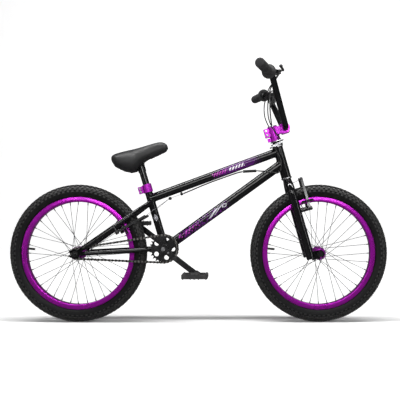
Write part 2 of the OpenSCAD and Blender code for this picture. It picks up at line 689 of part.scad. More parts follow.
// The right arm lies along +X. Its pedal end stands further out than its spindle end.
module crank_arm() difference() {
    union() {
        translate([0, -arm_y, 0]) rotate([90, 0, 0]) cylinder(h = arm_w + 4, r = 17);
        translate([crank_len, -arm_y - arm_out, 0]) rotate([90, 0, 0]) cylinder(h = arm_w, r = 13.5);
        rotate([0, 0, -atan(arm_out / crank_len)]) translate([0, -arm_y - arm_w + 0.5, -10])
            cube([crank_len, arm_w - 1, 20]);
    }
    rotate([90, 0, 0]) cylinder(h = arm_y + arm_w - 2, r = spindle_d / 2 + seat_gap);
    translate([0, -arm_y, 0]) rotate([90, 0, 0]) cylinder(h = 40, r = 7.5);
    translate([crank_len, 0, 0]) rotate([90, 0, 0]) cylinder(h = 2 * pedal_y, r = 7 + seat_gap);
}
module ring_bolt(r) translate([ring_bolt_x, -arm_y + 2, 0]) rotate([90, 0, 0])
    cylinder(h = arm_w + 6, r = r);
module crank_arms() color(frame_black) at_crank() {
    difference() {
        crank_arm();
        ring_bolt(ring_bolt_r + seat_gap);
    }
    rotate([0, 0, 180]) crank_arm();
}
module crank_bolts() color(steel) at_crank() {
    for (turn = [0, 180]) rotate([0, 0, turn]) translate([0, -arm_y - arm_w + 2 - seat_gap, 0])
        rotate([90, 0, 0]) cylinder(h = 8, r = 7.2);
    // the bolt that ties the chainring to the right arm
    ring_bolt(ring_bolt_r);
}
module chainring() color(frame_black) at_crank() difference() {
    translate([0, -chain_line, 0]) rotate([90, 0, 0]) {
        rotate([0, 0, crank_angle + chain_slope + 90 + tilt]) sprocket(ring_teeth, ring_r);
        cylinder(h = arm_y - chain_line - seat_gap, r = 17);
    }
    rotate([90, 0, 0]) cylinder(h = 2 * arm_y, r = spindle_d / 2 + seat_gap);
    for (i = [0:4]) rotate([0, 36 + i * 72, 0]) translate([33, -chain_line, 0]) rotate([90, 0, 0])
        cylinder(h = 10, r = 8.5, center = true);
}
axle_reach = pedal_y + 8 + pedal_w;
module pedal_axles() color(steel) at_crank() for (turn = [0, 180]) rotate([0, 0, turn])
    translate([crank_len, 0, 0]) rotate([90, 0, 0]) {
        translate([0, 0, pedal_y - arm_w + 1]) cylinder(h = arm_w - 1, r = 7);
        translate([0, 0, pedal_y + seat_gap]) cylinder(h = 4, r = 9);
        translate([0, 0, pedal_y]) cylinder(h = axle_reach - pedal_y - 8, r = 4.5);
    }
pedal_t = 15;
function pedal_at(side) = bb_at + side * [crank_len * cos(crank_angle), 0, -crank_len * sin(crank_angle)];
module pedal() translate([0, pedal_y + 6, 0]) {
    difference() {
        union() {
            difference() {
                translate([-pedal_w / 2, 0, -pedal_t / 2]) cube([pedal_w, pedal_w, pedal_t]);
                for (m = [-1, 1]) translate([m * (pedal_w / 4 + 3) - pedal_w / 4 + 13, 9, -pedal_t])
                    cube([pedal_w / 2 - 26, pedal_w - 18, 2 * pedal_t]);
            }
            across() cylinder(h = pedal_w, r = 9);
        }
        translate([0, -1, 0]) across() cylinder(h = pedal_w - 5, r = 4.5 + run_gap);
    }
    for (x = [-1, -0.35, 0.35, 1], y = [0.06, 0.94], z = [-1, 1])
        translate([x * (pedal_w / 2 - 5), y * pedal_w, z * (pedal_t / 2 + 1) - 2])
            cylinder(h = 4, r = 1.6);
}
module left_pedal() color(soft_black) translate(pedal_at(-1)) pedal();
module right_pedal() color(soft_black) translate(pedal_at(1)) mirror([0, 1, 0]) pedal();

// ---- Fork ----
leg_wall = 1.8;
cable_bore = 3.3; // the front brake cable runs down inside the steerer
leg_slope = 30;
leg_corner = crown_s + 1 - leg_y * tan(leg_slope);
leg_path = [[0, leg_y, -8], [0, leg_y, leg_corner], [0, 0, crown_s + 1]];
leg_inner = [[0, leg_y, -5], [0, leg_y, leg_corner], [0, 0, crown_s + 1]];
leg_bend = 45;
front_arm_x = 6;
module fork_legs() color(frame_black) on_steerer() {
    difference() {
        union() {
            both_sides() bent_bar(leg_path, leg_d / 2, leg_bend);
            both_sides() {
                translate([0, front_old / 2, 0]) across() translate([rake, 0, 0])
                    cylinder(h = plate_t, r = 15);
                translate([4, front_old / 2, -15]) cube([rake - 4, plate_t, 30]);
                translate([0, pivot_y, boss_z]) rotate([0, 90, 0]) {
                    cylinder(h = rake + front_arm_x - free_gap, r = 7);
                    cylinder(h = rake + front_arm_x + arm_t, r = stud_r);
                }
            }
        }
        both_sides() bent_bar(leg_inner, leg_d / 2 - leg_wall, leg_bend);
        cylinder(h = 2 * crown_s, r = cable_bore);
        translate([-60, -60, crown_s]) cube([120, 120, 60]);
        both_sides() translate([rake, front_old / 2 - 1, 0]) {
            across() cylinder(h = plate_t + 2, r = axle_d / 2 + seat_gap);
            translate([-axle_d / 2 - seat_gap, 0, -30]) cube([axle_d + 2 * seat_gap, plate_t + 2, 30]);
        }
    }
    translate([0, 0, crown_s - 6]) ring(6, steerer_d / 2, cable_bore);
}
module fork_steerer() color(frame_black) on_steerer() {
    translate([0, 0, crown_s + seat_gap]) {
        ring(steerer_top_s - crown_s, steerer_d / 2, steerer_d / 2 - 2.6);
        ring(race_h - seat_gap, steerer_d / 2 + 4, steerer_d / 2 - 1);
    }
}

// ---- Rotor ----
rotor_bore = steerer_d / 2 + 1;
rotor_r = 22;
cable_y = 24;
module rotor_tabs(t, x) for (m = [-1, 1]) difference() {
    translate([min(x, 0), m > 0 ? 0 : -cable_y - 4, 0]) cube([abs(x), cable_y + 4, t]);
    translate([x * 0.6, m * cable_y, -1]) cylinder(h = t + 2, r = 2);
}
module rotor_disc(t, bore, x) difference() {
    union() {
        cylinder(h = t, r = rotor_r);
        rotor_tabs(t, x);
    }
    translate([0, 0, -1]) cylinder(h = t + 2, r = bore);
}
module rotor_lower_plate() color(steel) on_steerer() translate([0, 0, lower_plate_s])
    rotor_disc(rotor_plate_t, rotor_bore, -28);
module rotor_lower_ring() color(steel) on_steerer() translate([0, 0, lower_ring_s])
    rotor_disc(rotor_ring_t, rotor_bore, -20);
module rotor_upper_ring() color(steel) on_steerer() translate([0, 0, upper_ring_s])
    rotor_disc(rotor_ring_t, rotor_bore, 20);
module rotor_upper_plate() color(steel) on_steerer() translate([0, 0, upper_plate_s])
    rotor_disc(rotor_plate_t, steerer_d / 2 + seat_gap, 28);

// ---- Stem and bars ----
module steerer_clamp_ring() color(violet) on_steerer() translate([0, 0, clamp_ring_s]) difference() {
    union() {
        cylinder(h = clamp_ring_h, r = steerer_d / 2 + 4);
        translate([-29, -7, 3]) cube([14, 14, clamp_ring_h - 6]);
    }
    translate([0, 0, -1]) cylinder(h = clamp_ring_h + 2, r = steerer_d / 2 + seat_gap);
    translate([-40, -1, -1]) cube([30, 2, clamp_ring_h + 2]);
}
bar_clamp_r = bar_d / 2 + 6.5;
clamp_bolt_z = bar_d / 2 + 3;
clamp_bolt_y = 19;
head_r = 3.8;
split_x = reach + 1;
clamp_t = 8;
stem_w = 50;
module stem_outline() {
    cylinder(h = stem_h, r = steerer_d / 2 + 5);
    translate([-34, -12, 2]) cube([20, 24, stem_h - 4]);
    translate([0, -17, 4]) cube([reach - 12, 34, stem_h - 8]);
    translate([reach - 16, -stem_w / 2, 0]) cube([16, stem_w, stem_h]);
}
module at_clamp_bolts(x) for (y = [-1, 1], z = [-1, 1])
    translate([x, y * clamp_bolt_y, stem_h / 2 + z * clamp_bolt_z]) rotate([0, 90, 0]) children();
module pinch_bolt_holes(r) for (z = [-8, 8]) translate([-26, -13, stem_h / 2 + z]) across()
    cylinder(h = 26, r = r);
module stem() color(violet) on_steerer() translate([0, 0, stem_s]) difference() {
    stem_outline();
    translate([0, 0, -1]) cylinder(h = stem_h + 2, r = steerer_d / 2 + seat_gap);
    translate([-40, -1, -1]) cube([30, 2, stem_h + 2]);
    translate([reach, 0, stem_h / 2]) across() cylinder(h = 2 * stem_w, r = bar_d / 2 + seat_gap, center = true);
    at_clamp_bolts(reach - 14) cylinder(h = 30, r = 2.5 + seat_gap);
    pinch_bolt_holes(2.5 + seat_gap);
}
module stem_clamp() color(violet) on_steerer() translate([0, 0, stem_s]) difference() {
    union() {
        translate([split_x, -stem_w / 2, 0]) cube([clamp_t, stem_w, stem_h]);
        intersection() {
            translate([reach, 0, stem_h / 2]) across() cylinder(h = stem_w, r = bar_clamp_r, center = true);
            translate([split_x, -stem_w, 0]) cube([40, 2 * stem_w, stem_h]);
        }
    }
    translate([reach, 0, stem_h / 2]) across() cylinder(h = 2 * stem_w, r = bar_d / 2 + seat_gap, center = true);
    at_clamp_bolts(reach - 14) cylinder(h = 30, r = 2.5 + seat_gap);
    at_clamp_bolts(split_x + clamp_t) cylinder(h = 30, r = head_r + seat_gap);
}
module stem_bolts() color(steel) on_steerer() translate([0, 0, stem_s]) {
    at_clamp_bolts(reach - 13) cylinder(h = split_x + clamp_t + 1 - reach + 13, r = 2.5);
    at_clamp_bolts(split_x + clamp_t + seat_gap) cylinder(h = 4, r = head_r);
    for (z = [-8, 8]) translate([-26, 0, stem_h / 2 + z]) across() {
        translate([0, 0, -12]) cylinder(h = 24, r = 2.5);
        translate([0, 0, -16]) cylinder(h = 4 - seat_gap, r = 4);
    }
    // the cap and bolt that preload the headset
    translate([0, 0, stem_h + seat_gap]) difference() {
        cylinder(h = 3, r = steerer_d / 2 + 3);
        translate([0, 0, -1]) cylinder(h = 5, r = cable_bore);
    }
    translate([0, 0, stem_h - 20]) ring(20 + seat_gap, 6, cable_bore);
}
bar_base = on_steer(reach, stem_mid_s);
bar_low_y = 48;
bar_high_y = 182;
up_sweep = 1.5;
grip_way = [-sin(back_sweep) * cos(up_sweep), cos(back_sweep) * cos(up_sweep), sin(up_sweep)];
bar_up = [-cos(head_angle - bar_lean), 0, sin(head_angle - bar_lean)];
bar_corner = bar_base + bar_up * bar_rise + [0, bar_high_y, 0];
bar_end = bar_corner + grip_way * (bar_half - bar_high_y) / grip_way.y;
bar_bend = 38;
function mirrored(p) = [p.x, -p.y, p.z];
bar_path = [mirrored(bar_end), mirrored(bar_corner), bar_base - [0, bar_low_y, 0],
    bar_base + [0, bar_low_y, 0], bar_corner, bar_end];
cross_at = 0.68;
cross_low = bar_base + [0, bar_low_y, 0];
cross_end = cross_low + (bar_corner - cross_low) * cross_at;
module handlebar() color(frame_black) difference() {
    union() {
        bent_bar(bar_path, bar_d / 2, bar_bend);
        rod(mirrored(cross_end), cross_end, 8);
    }
    bent_bar([mirrored(bar_end + grip_way), mirrored(bar_corner), bar_base - [0, bar_low_y, 0],
        bar_base + [0, bar_low_y, 0], bar_corner, bar_end + grip_way], bar_d / 2 - 1.6, bar_bend);
}
module on_bar() along(bar_end, bar_end - grip_way) rotate([0, 0, 90]) children();
plug_h = 3;
module grip() on_bar() {
    difference() {
        union() {
            cylinder(h = grip_len, r = grip_d / 2);
            translate([0, 0, grip_len - 4]) cylinder(h = 4, r = 25);
        }
        translate([0, 0, -1]) cylinder(h = grip_len + 2, r = bar_d / 2 + seat_gap);
    }
    // bar-end plug
    translate([0, 0, -plug_h - seat_gap]) cylinder(h = plug_h, r = grip_d / 2 - 1);
    translate([0, 0, -plug_h]) cylinder(h = 18, r = bar_d / 2 - 1.6 - seat_gap);
}
module grips() color(soft_black) both_sides() grip();

// Levers. In this frame Z runs inward along the bar and X points forward.
bracket_z = grip_len + 10;
lever_pivot = [32, 0, bracket_z + 6];
lever_lift = 2;
barrel_x = 27;
module at_lever() on_bar() rotate([0, 0, lever_lift]) children();
module lever_bracket() at_lever() difference() {
    union() {
        translate([0, 0, bracket_z - 7]) cylinder(h = 14, r = bar_d / 2 + 4);
        translate([bar_d / 2, -7, bracket_z - 6]) cube([16, 14, 26]);
        translate(lever_pivot - [0, 7, 0]) across() cylinder(h = 14, r = 6);
        translate([barrel_x, 0, bracket_z + 14]) cylinder(h = 12, r = 4.5);
    }
    translate([0, 0, bracket_z - 9]) cylinder(h = 40, r = bar_d / 2 + seat_gap);
    // the slot that the lever turns in
    translate([24, -3.2, bracket_z - 8]) cube([30, 6.4, 24]);
    translate(lever_pivot - [0, 9, 0]) across() cylinder(h = 18, r = 2.5 + seat_gap);
}
module lever_brackets() color(frame_black) both_sides() lever_bracket();
lever_len = 74;
module lever() at_lever() translate(lever_pivot) {
    across() cylinder(h = 14, r = 2.5, center = true);
    across() cylinder(h = 5.8, r = 5.5, center = true);
    rod([0, 0, 0], [18, 0, -20], 2.6);
    rod([17, 0, -18], [22, 0, -lever_len], 4.5);
    translate([22, 0, -lever_len]) sphere(r = 6);
}
module front_brake_lever() color(frame_black) lever();
module rear_brake_lever() color(frame_black) mirror([0, 1, 0]) lever();

// ---- Brake arms: pivot on X, arm up Z, pad towards Y = 0 ----
pad_t = 8;
pad_len = 46;
pad_h = 9;
arm_top_y = 38;
module brake_arm(x) {
    lean = (pivot_y - arm_top_y) / arm_len;
    rim_y = rim_w / 2 + pad_gap;
    pad_y = pivot_y - lean * pad_rise;
    difference() {
        union() {
            translate([x, pivot_y, boss_z]) rotate([0, 90, 0]) cylinder(h = arm_t, r = 7.5);
            translate([x + arm_t / 2, pivot_y, boss_z]) rotate([atan(lean), 0, 0])
                translate([plate_step - arm_t / 2, -5, 0])
                    cube([arm_t - 2 * plate_step, 10, norm([arm_len, pivot_y - arm_top_y])]);
            translate([x, arm_top_y, boss_z + arm_len]) rotate([0, 90, 0]) cylinder(h = arm_t, r = 6.5);
        }
        translate([x - 1, pivot_y, boss_z]) rotate([0, 90, 0]) cylinder(h = arm_t + 2, r = stud_r + run_gap);
        translate([x + arm_t / 2, pad_y - 10, track_r]) across() cylinder(h = 20, r = 3 + seat_gap);
    }
    // bolt that holds the arm on its pivot
    translate([x + arm_t + seat_gap, pivot_y, boss_z]) rotate([0, 90, 0]) cylinder(h = 4, r = 7);
    // pad, its post and its nut
    translate([x + arm_t / 2, rim_y + pad_t - eps, track_r]) across()
        cylinder(h = pad_y + 11 - rim_y - pad_t, r = 3);
    translate([x + arm_t / 2 - pad_len / 2, rim_y, track_r - pad_h / 2]) cube([pad_len, pad_t, pad_h]);
    translate([x + arm_t / 2, pad_y + 5.6, track_r]) across() cylinder(h = 5, r = 6, $fn = 6);
}
module front_brake_arm_left() color(frame_black) on_front_brake() brake_arm(front_arm_x);
module front_brake_arm_right() color(frame_black) mirror([0, 1, 0]) on_front_brake() brake_arm(front_arm_x);
module rear_brake_arm_left() color(frame_black) on_rear_brake() brake_arm(rear_arm_x);
module rear_brake_arm_right() color(frame_black) mirror([0, 1, 0]) on_rear_brake() brake_arm(rear_arm_x);

// ---- Cables: routes are hand-set points ----
wire_r = 0.8;
thin_r = 1.6;
housing_r = 2.4;
hanger_at = [-106, 0, 458];
straddle_route = [[-192, 38, 394], [-112, 3, 455]];
stop_route = [[-99, 0, 461], [-68, 0, 472]];
housing_route = [[-57, 0, 476], [-30, 0, 487], [0, 0, 500], [50, 0, 520], [100, 0, 538],
    [140, 0, 552], [164, 0, 558]];
joiner_ends = [[165, 0, 558], [215, 0, 561]];
lower_route = [[216, 3, 561], [230, 12, 560], [246, 21, 559], [264, 25, 556], [284, 27, 553],
    [300, 28, 556], [305, 28, 572], [304, 27, 600], [290, 25, 632], [277, 24, 647.6]];
near_route = [[287, -196.4, 884], [287, -170, 887], [281, -130, 882], [270, -90, 866],
    [260, -58, 838], [256, -36, 800], [258, -27, 760], [268, -25, 728], [286, -24, 700],
    [304.2, -24, 675.8]];
far_route = [[287, -196.4, 880], [284, -160, 878], [274, -115, 870], [260, -70, 856],
    [250, -28, 830], [244, 4, 796], [248, 20, 762], [262, 25, 730], [284, 24, 702],
    [304.2, 24, 675.8]];
front_route = [[287, 196.4, 882], [286, 160, 886], [277, 110, 878], [270, 70, 862], [267, 40, 838],
    [266, 18, 808], [267, 6, 778], [269.5, 0, 750], [273.5, 0, 722], [278, 0, 706.2],
    [327.3, 0, 533.1], [332.2, 0, 515.8]];
front_split = [334.4, 0, 508.2];
front_straddle = [[335.4, 1.6, 507.6], [378.6, 30.7, 529.6]];
along_y = [1, 0, 0];
module upper_cables() color(soft_black) {
    cable(near_route, thin_r, along_y);
    cable(far_route, thin_r, along_y);
    cable(front_route, housing_r, along_y);
    cable([[332.5, 0, 515], front_split], wire_r);
    both_sides() cable(front_straddle, wire_r, along_y);
}
module rear_brake_cable() color(soft_black) {
    both_sides() cable(straddle_route, wire_r);
    cable(stop_route, wire_r);
    cable(housing_route, housing_r);
    both_sides() cable(lower_route, thin_r, along_y);
}
module cable_joiner() color(soft_black) {
    rod(joiner_ends[0], joiner_ends[1], 5);
    translate(hanger_at) across() cylinder(h = 8, r = 6, center = true);
}

head_tube();
top_tube();
down_tube();
seat_tube();
bottom_bracket_shell();
seat_stays();
chain_stays();
rear_dropouts();
rear_brake_fittings();
headset_cups();
bottom_bracket_bearings();
seat_clamp();
seat_clamp_bolts();
seat_post();
saddle_base();
saddle_cover();
saddle_bolt();
rear_axle();
rear_hub();
rear_spokes();
rear_rim();
rear_inner_tube();
rear_tyre();
driver();
chain();
crank_spindle();
crank_arms();
chainring();
crank_bolts();
pedal_axles();
right_pedal();
left_pedal();
fork_steerer();
fork_legs();
front_axle();
front_hub();
front_spokes();
front_rim();
front_inner_tube();
front_tyre();
rotor_lower_plate();
rotor_lower_ring();
rotor_upper_ring();
rotor_upper_plate();
steerer_clamp_ring();
stem();
stem_clamp();
stem_bolts();
handlebar();
grips();
lever_brackets();
front_brake_lever();
rear_brake_lever();
front_brake_arm_left();
front_brake_arm_right();
rear_brake_arm_left();
rear_brake_arm_right();
upper_cables();
rear_brake_cable();
cable_joiner();
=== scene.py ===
# %% [markdown]
# # A freestyle BMX bicycle
# The cells below give those parts their finishes, and make the pieces whose look needs
# more than a plain solid: the knobbly tyres, the saddle, the grips, the cables, the welds.

# %% Load the hard parts
import json
import math
import bpy
import numpy as np
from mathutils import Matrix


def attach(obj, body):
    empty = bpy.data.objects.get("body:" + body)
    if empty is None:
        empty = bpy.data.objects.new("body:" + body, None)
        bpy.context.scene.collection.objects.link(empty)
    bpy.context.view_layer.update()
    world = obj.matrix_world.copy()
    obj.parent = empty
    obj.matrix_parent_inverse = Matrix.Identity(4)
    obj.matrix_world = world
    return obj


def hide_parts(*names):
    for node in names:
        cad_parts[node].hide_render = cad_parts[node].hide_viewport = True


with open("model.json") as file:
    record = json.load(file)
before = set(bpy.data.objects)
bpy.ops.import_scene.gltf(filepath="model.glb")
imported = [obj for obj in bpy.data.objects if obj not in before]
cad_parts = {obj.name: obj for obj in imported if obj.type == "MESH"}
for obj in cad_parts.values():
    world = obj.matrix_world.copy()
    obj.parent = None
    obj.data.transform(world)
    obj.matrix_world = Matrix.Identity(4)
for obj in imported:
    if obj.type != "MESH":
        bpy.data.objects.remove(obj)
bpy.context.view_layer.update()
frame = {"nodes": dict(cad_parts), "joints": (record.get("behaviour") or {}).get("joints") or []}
nodes = frame["nodes"]
joints = {j["name"]: j for j in frame["joints"]}
print("parts:", len(nodes), "joints:", len(joints))

# %% [markdown]
# ## The camera
# The bicycle is seen from its chain side, level with the middle of the wheels. A long lens
# would flatten it; this one stands 2.4 m away, so the far grip still shows past the near one.
# The shift slides the view on the sensor without turning the camera.

# %% Camera
def place_camera():
    data = bpy.data.cameras.new("camera")
    data.lens = 58.0
    data.shift_x = -0.10
    data.shift_y = 0.025
    camera = bpy.data.objects.new("camera", data)
    camera.location = (0.154, -2.40, 0.415)
    camera.rotation_euler = (math.radians(90), 0, 0)
    bpy.context.scene.collection.objects.link(camera)
    bpy.context.scene.camera = camera
    return camera


camera = place_camera()
print("camera at", tuple(camera.location))

# %% [markdown]
# ## Measuring from the hard parts
# Every new piece is placed from the joints and boxes of the parts that it touches. The
# steering axis, the crank's axis and the wheel centres are joints, so they come first.

# %% Reference points
def unit(v):
    v = np.asarray(v, float)
    return v / np.linalg.norm(v)


def at(joint):
    return np.array(joints[joint]["pos_m"], float)


steer_up = unit(joints["steering"]["axis"])
steer_foot = at("steering") - 0.360 * steer_up
seat_up = unit(joints["seat_height"]["axis"])
crank_at = at("crank_turn")
wheels = {"front": at("front_wheel_spin"), "rear": at("rear_wheel_spin")}
head_low, head_top = 0.3023, 0.4203
top_start = crank_at + 0.192 * seat_up
top_end = steer_foot + (head_top - 0.017) * steer_up
down_end = steer_foot + (head_low + 0.055) * steer_up
print("wheelbase", round(wheels["front"][0] - wheels["rear"][0], 4))

# %% [markdown]
# ## From arrays to meshes
# A surface can be drawn by hand, face by face, or worked out: here each one is a grid of
# points, and one helper joins every point to its neighbours. A tube is a grid too, with a
# ring of points set round each point of its path.

# %% Surfaces
MM = 0.001


def make_piece(name, points, faces, finish, body, uv=None, smooth=True):
    """Puts points and faces into a mesh that rides on a body."""
    mesh = bpy.data.meshes.new(name)
    mesh.from_pydata(np.reshape(points, (-1, 3)).tolist(), [], [list(map(int, f)) for f in faces])
    mesh.polygons.foreach_set("use_smooth", np.full(len(mesh.polygons), smooth))
    if uv is not None:
        corner = np.empty(len(mesh.loops), np.int32)
        mesh.loops.foreach_get("vertex_index", corner)
        mesh.uv_layers.new(name="along").data.foreach_set("uv", np.reshape(uv, (-1, 2))[corner].ravel())
    mesh.materials.append(finish)
    piece = bpy.data.objects.new(name, mesh)
    bpy.context.scene.collection.objects.link(piece)
    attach(piece, body)
    return piece


def grid_faces(n, m, wrap_n=False, wrap_m=True, first=0):
    """Point (i, j) is joined to (i+1, j), (i+1, j+1) and (i, j+1). A wrapped side closes on itself."""
    i = np.arange(n if wrap_n else n - 1)[:, None]
    j = np.arange(m if wrap_m else m - 1)[None, :]
    i2, j2 = (i + 1) % n, (j + 1) % m
    corners = [i * m + j, i2 * m + j, i2 * m + j2, i * m + j2]
    return np.stack(corners, -1).reshape(-1, 4) + first


def heading(path, closed=False):
    """The direction at each point is the way from the point before to the point after."""
    if closed:
        step = np.roll(path, -1, 0) - np.roll(path, 1, 0)
    else:
        step = np.gradient(path, axis=0)
    return step / np.linalg.norm(step, axis=1, keepdims=True)


def tube(path, radius, side, sides=12, closed=False):
    """A ring of points round each path point: centre + radius (cos k a + sin k b), where a and b
    are the two directions across the path. Open ends are closed with one flat face each."""
    t = heading(path, closed)
    a = np.cross(t, side)
    a /= np.linalg.norm(a, axis=1, keepdims=True)
    b = np.cross(t, a)
    k = np.arange(sides) * 2 * np.pi / sides
    r = np.broadcast_to(radius, len(path))[:, None, None]
    ring = np.cos(k)[None, :, None] * a[:, None] + np.sin(k)[None, :, None] * b[:, None]
    points = path[:, None] + r * ring
    faces = grid_faces(len(path), sides, wrap_n=closed).tolist()
    if not closed:
        last = (len(path) - 1) * sides
        faces += [list(range(sides))[::-1], list(range(last, last + sides))]
    return points.reshape(-1, 3), [f[::-1] for f in faces]


def joined(parts):
    """Several (points, faces) pairs as one pair: each part's faces are counted on from the last."""
    points, faces, first = [], [], 0
    for p, f in parts:
        points.append(p)
        faces += [[k + first for k in face] for face in f]
        first += len(p)
    return np.concatenate(points), faces


def smooth_route(points, steps=8):
    """A curve through every point: between two points it is a cubic whose slope at each
    end is half the way from the point before to the point after."""
    p = np.asarray(points, float)
    slope = np.gradient(p, axis=0)
    u = np.linspace(0, 1, steps, endpoint=False)[None, :, None]
    a, b, sa, sb = p[:-1, None], p[1:, None], slope[:-1, None], slope[1:, None]
    curve = ((2 * u**3 - 3 * u**2 + 1) * a + (u**3 - 2 * u**2 + u) * sa
             + (3 * u**2 - 2 * u**3) * b + (u**3 - u**2) * sb)
    return np.concatenate([curve.reshape(-1, 3), p[-1:]])


print("faces in a 4 by 6 tube:", len(grid_faces(4, 6)))

# %% [markdown]
# ## Finishes as sums
# A finish is a network of nodes. Wiring each sum by hand hides what it does, so a `Wire` is
# one node's output on which + - * / add the node that does the sum, and a `Finish` owns the
# material. A finish here starts from constants and adds what changes over the surface.

# %% Wires and finishes
class Wire:
    """One output of a node. Arithmetic on it adds a Math node."""

    def __init__(self, finish, socket):
        self.finish, self.socket = finish, socket

    def sum(self, operation, *others):
        return self.finish.node("ShaderNodeMath", {"operation": operation}, [self, *others])

    def __add__(self, other):
        return self.sum("ADD", other)

    def __sub__(self, other):
        return self.sum("SUBTRACT", other)

    def __rsub__(self, other):
        return self.sum("MULTIPLY", -1.0) + other

    def __mul__(self, other):
        return self.sum("MULTIPLY", other)

    def __truediv__(self, other):
        return self.sum("DIVIDE", other)

    __radd__ = __add__
    __rmul__ = __mul__

    def rise(self, low, high):
        """0 below low, 1 above high, and a smooth slope between."""
        return self.finish.node("ShaderNodeMapRange", {"interpolation_type": "SMOOTHSTEP"},
                                {"Value": self, "From Min": low, "From Max": high})

    def band(self, low, high, soft):
        """1 between low and high, 0 outside, with soft edges."""
        return self.rise(low - soft, low + soft) * (1 - self.rise(high - soft, high + soft))


class Finish:
    """A material whose constants are set first; what varies is fed in afterwards."""

    def __init__(self, name, colour, roughness, metallic=0.0, coat=0.0, coat_roughness=0.05):
        self.material = bpy.data.materials.new(name)
        self.material.use_nodes = True
        self.tree = self.material.node_tree
        self.shader = self.tree.nodes["Principled BSDF"]
        self.colour = (*colour, 1.0)
        constants = {"Base Color": self.colour, "Roughness": roughness, "Metallic": metallic,
                     "Coat Weight": coat, "Coat Roughness": coat_roughness}
        for socket, value in constants.items():
            self.shader.inputs[socket].default_value = value

    def node(self, kind, settings, inputs, out=0):
        node = self.tree.nodes.new(kind)
        for key, value in settings.items():
            setattr(node, key, value)
        named = inputs.items() if isinstance(inputs, dict) else enumerate(inputs)
        for key, value in named:
            if isinstance(value, Wire):
                self.tree.links.new(value.socket, node.inputs[key])
            else:
                node.inputs[key].default_value = value
        return Wire(self, node.outputs[out])

    def feed(self, **wires):
        for name, wire in wires.items():
            self.tree.links.new(wire.socket, self.shader.inputs[name.replace("_", " ").title()])

    def place(self):
        return self.node("ShaderNodeTexCoord", {}, {}, "Object")

    def along(self):
        return self.node("ShaderNodeUVMap", {"uv_map": "along"}, {})

    def axes(self, vector):
        return [self.node("ShaderNodeSeparateXYZ", {}, [vector], k) for k in range(3)]

    def dot(self, vector, way):
        return self.node("ShaderNodeVectorMath", {"operation": "DOT_PRODUCT"},
                         [vector, tuple(float(x) for x in way)], "Value")

    def noise(self, scale, detail=3.0, vector=None):
        return self.node("ShaderNodeTexNoise", {}, {"Vector": vector or self.place(),
                         "Scale": scale, "Detail": detail})

    def cells(self, scale, vector=None):
        return self.node("ShaderNodeTexVoronoi", {}, {"Vector": vector or self.place(), "Scale": scale})

    def blend(self, factor, a, b):
        a, b = [(*c, 1.0) if isinstance(c, tuple) and len(c) == 3 else c for c in (a, b)]
        return self.node("ShaderNodeMix", {"data_type": "RGBA"}, {0: factor, 6: a, 7: b}, 2)

    def relief(self, height, depth, strength=1.0):
        """A bump as deep as depth metres where height goes from 0 to 1."""
        self.feed(normal=self.node("ShaderNodeBump", {}, {"Strength": strength,
                  "Distance": depth, "Height": height}))


def dusty(finish, low, high, dust, amount, scale=60.0):
    """Colour with a little dust in soft patches, and roughness that goes up with it."""
    patch = finish.noise(scale, 5.0).rise(0.42, 0.75) * amount
    finish.feed(base_color=finish.blend(patch, finish.colour, dust), roughness=low + (high - low) * patch)
    return patch


print("finishes ready")

# %% [markdown]
# ## Gloss black paint
# The frame is sprayed gloss black under a clear coat. A perfectly smooth black reads as
# plastic, so the coat gets the faint orange peel of sprayed paint: noise about 2 mm across
# and a few hundredths of a millimetre deep.

# %% Paint
GREY_DUST = (0.055, 0.052, 0.050)


def gloss_paint(name):
    paint = Finish(name, (0.0022, 0.0022, 0.0027), 0.30, coat=1.0, coat_roughness=0.03)
    paint.shader.inputs["Specular IOR Level"].default_value = 0.0
    patch = paint.noise(26.0, 6.0).rise(0.55, 0.8)
    scuff = paint.noise(420.0, 2.0).rise(0.62, 0.72) * patch
    paint.feed(roughness=0.24 + patch * 0.10 + scuff * 0.15)
    paint.relief(paint.noise(520.0, 1.0), 0.00002, 0.2)
    return paint, scuff


def plain_paint(name):
    paint, scuff = gloss_paint(name)
    paint.feed(base_color=paint.blend(scuff * 0.5, paint.colour, GREY_DUST))
    return paint.material


black_paint = plain_paint("gloss_black_paint")
print("paint nodes:", len(black_paint.node_tree.nodes))

# %% [markdown]
# ## Graphics on the tubes
# Tube graphics are water-slide decals. They could be thin skins laid on the tube, but here they
# are part of the paint: a point's distance along the tube and its height across it pick the
# colour. The shapes are plain slanted strokes and a fade, and spell nothing.

# %% Tube graphics
VIOLET_INK = (0.10, 0.008, 0.16)
PINK_INK = (0.42, 0.03, 0.38)
WHITE_INK = (0.72, 0.70, 0.74)
SILVER_INK = (0.50, 0.50, 0.54)


def on_tube(finish, start, end):
    """Distance along the tube from its start, and height across it seen from the side."""
    way = unit(end - start)
    across = np.cross(way, (0.0, 1.0, 0.0))
    across = across * np.sign(across[2])
    place = finish.place()
    along = finish.dot(place, way) - float(start @ way)
    high = finish.dot(place, across) - float(start @ across)
    return along, high


def strokes(along, high, first, last, pitch, slant, fill):
    """Leaning bars, one each pitch, between first and last: the part after the point of
    (along - slant * high) / pitch tells how far across a bar this place is."""
    turn = ((along - slant * high) / pitch).sum("FRACT")
    return turn.band(0.06, fill, 0.03) * along.band(first, last, 0.0008)


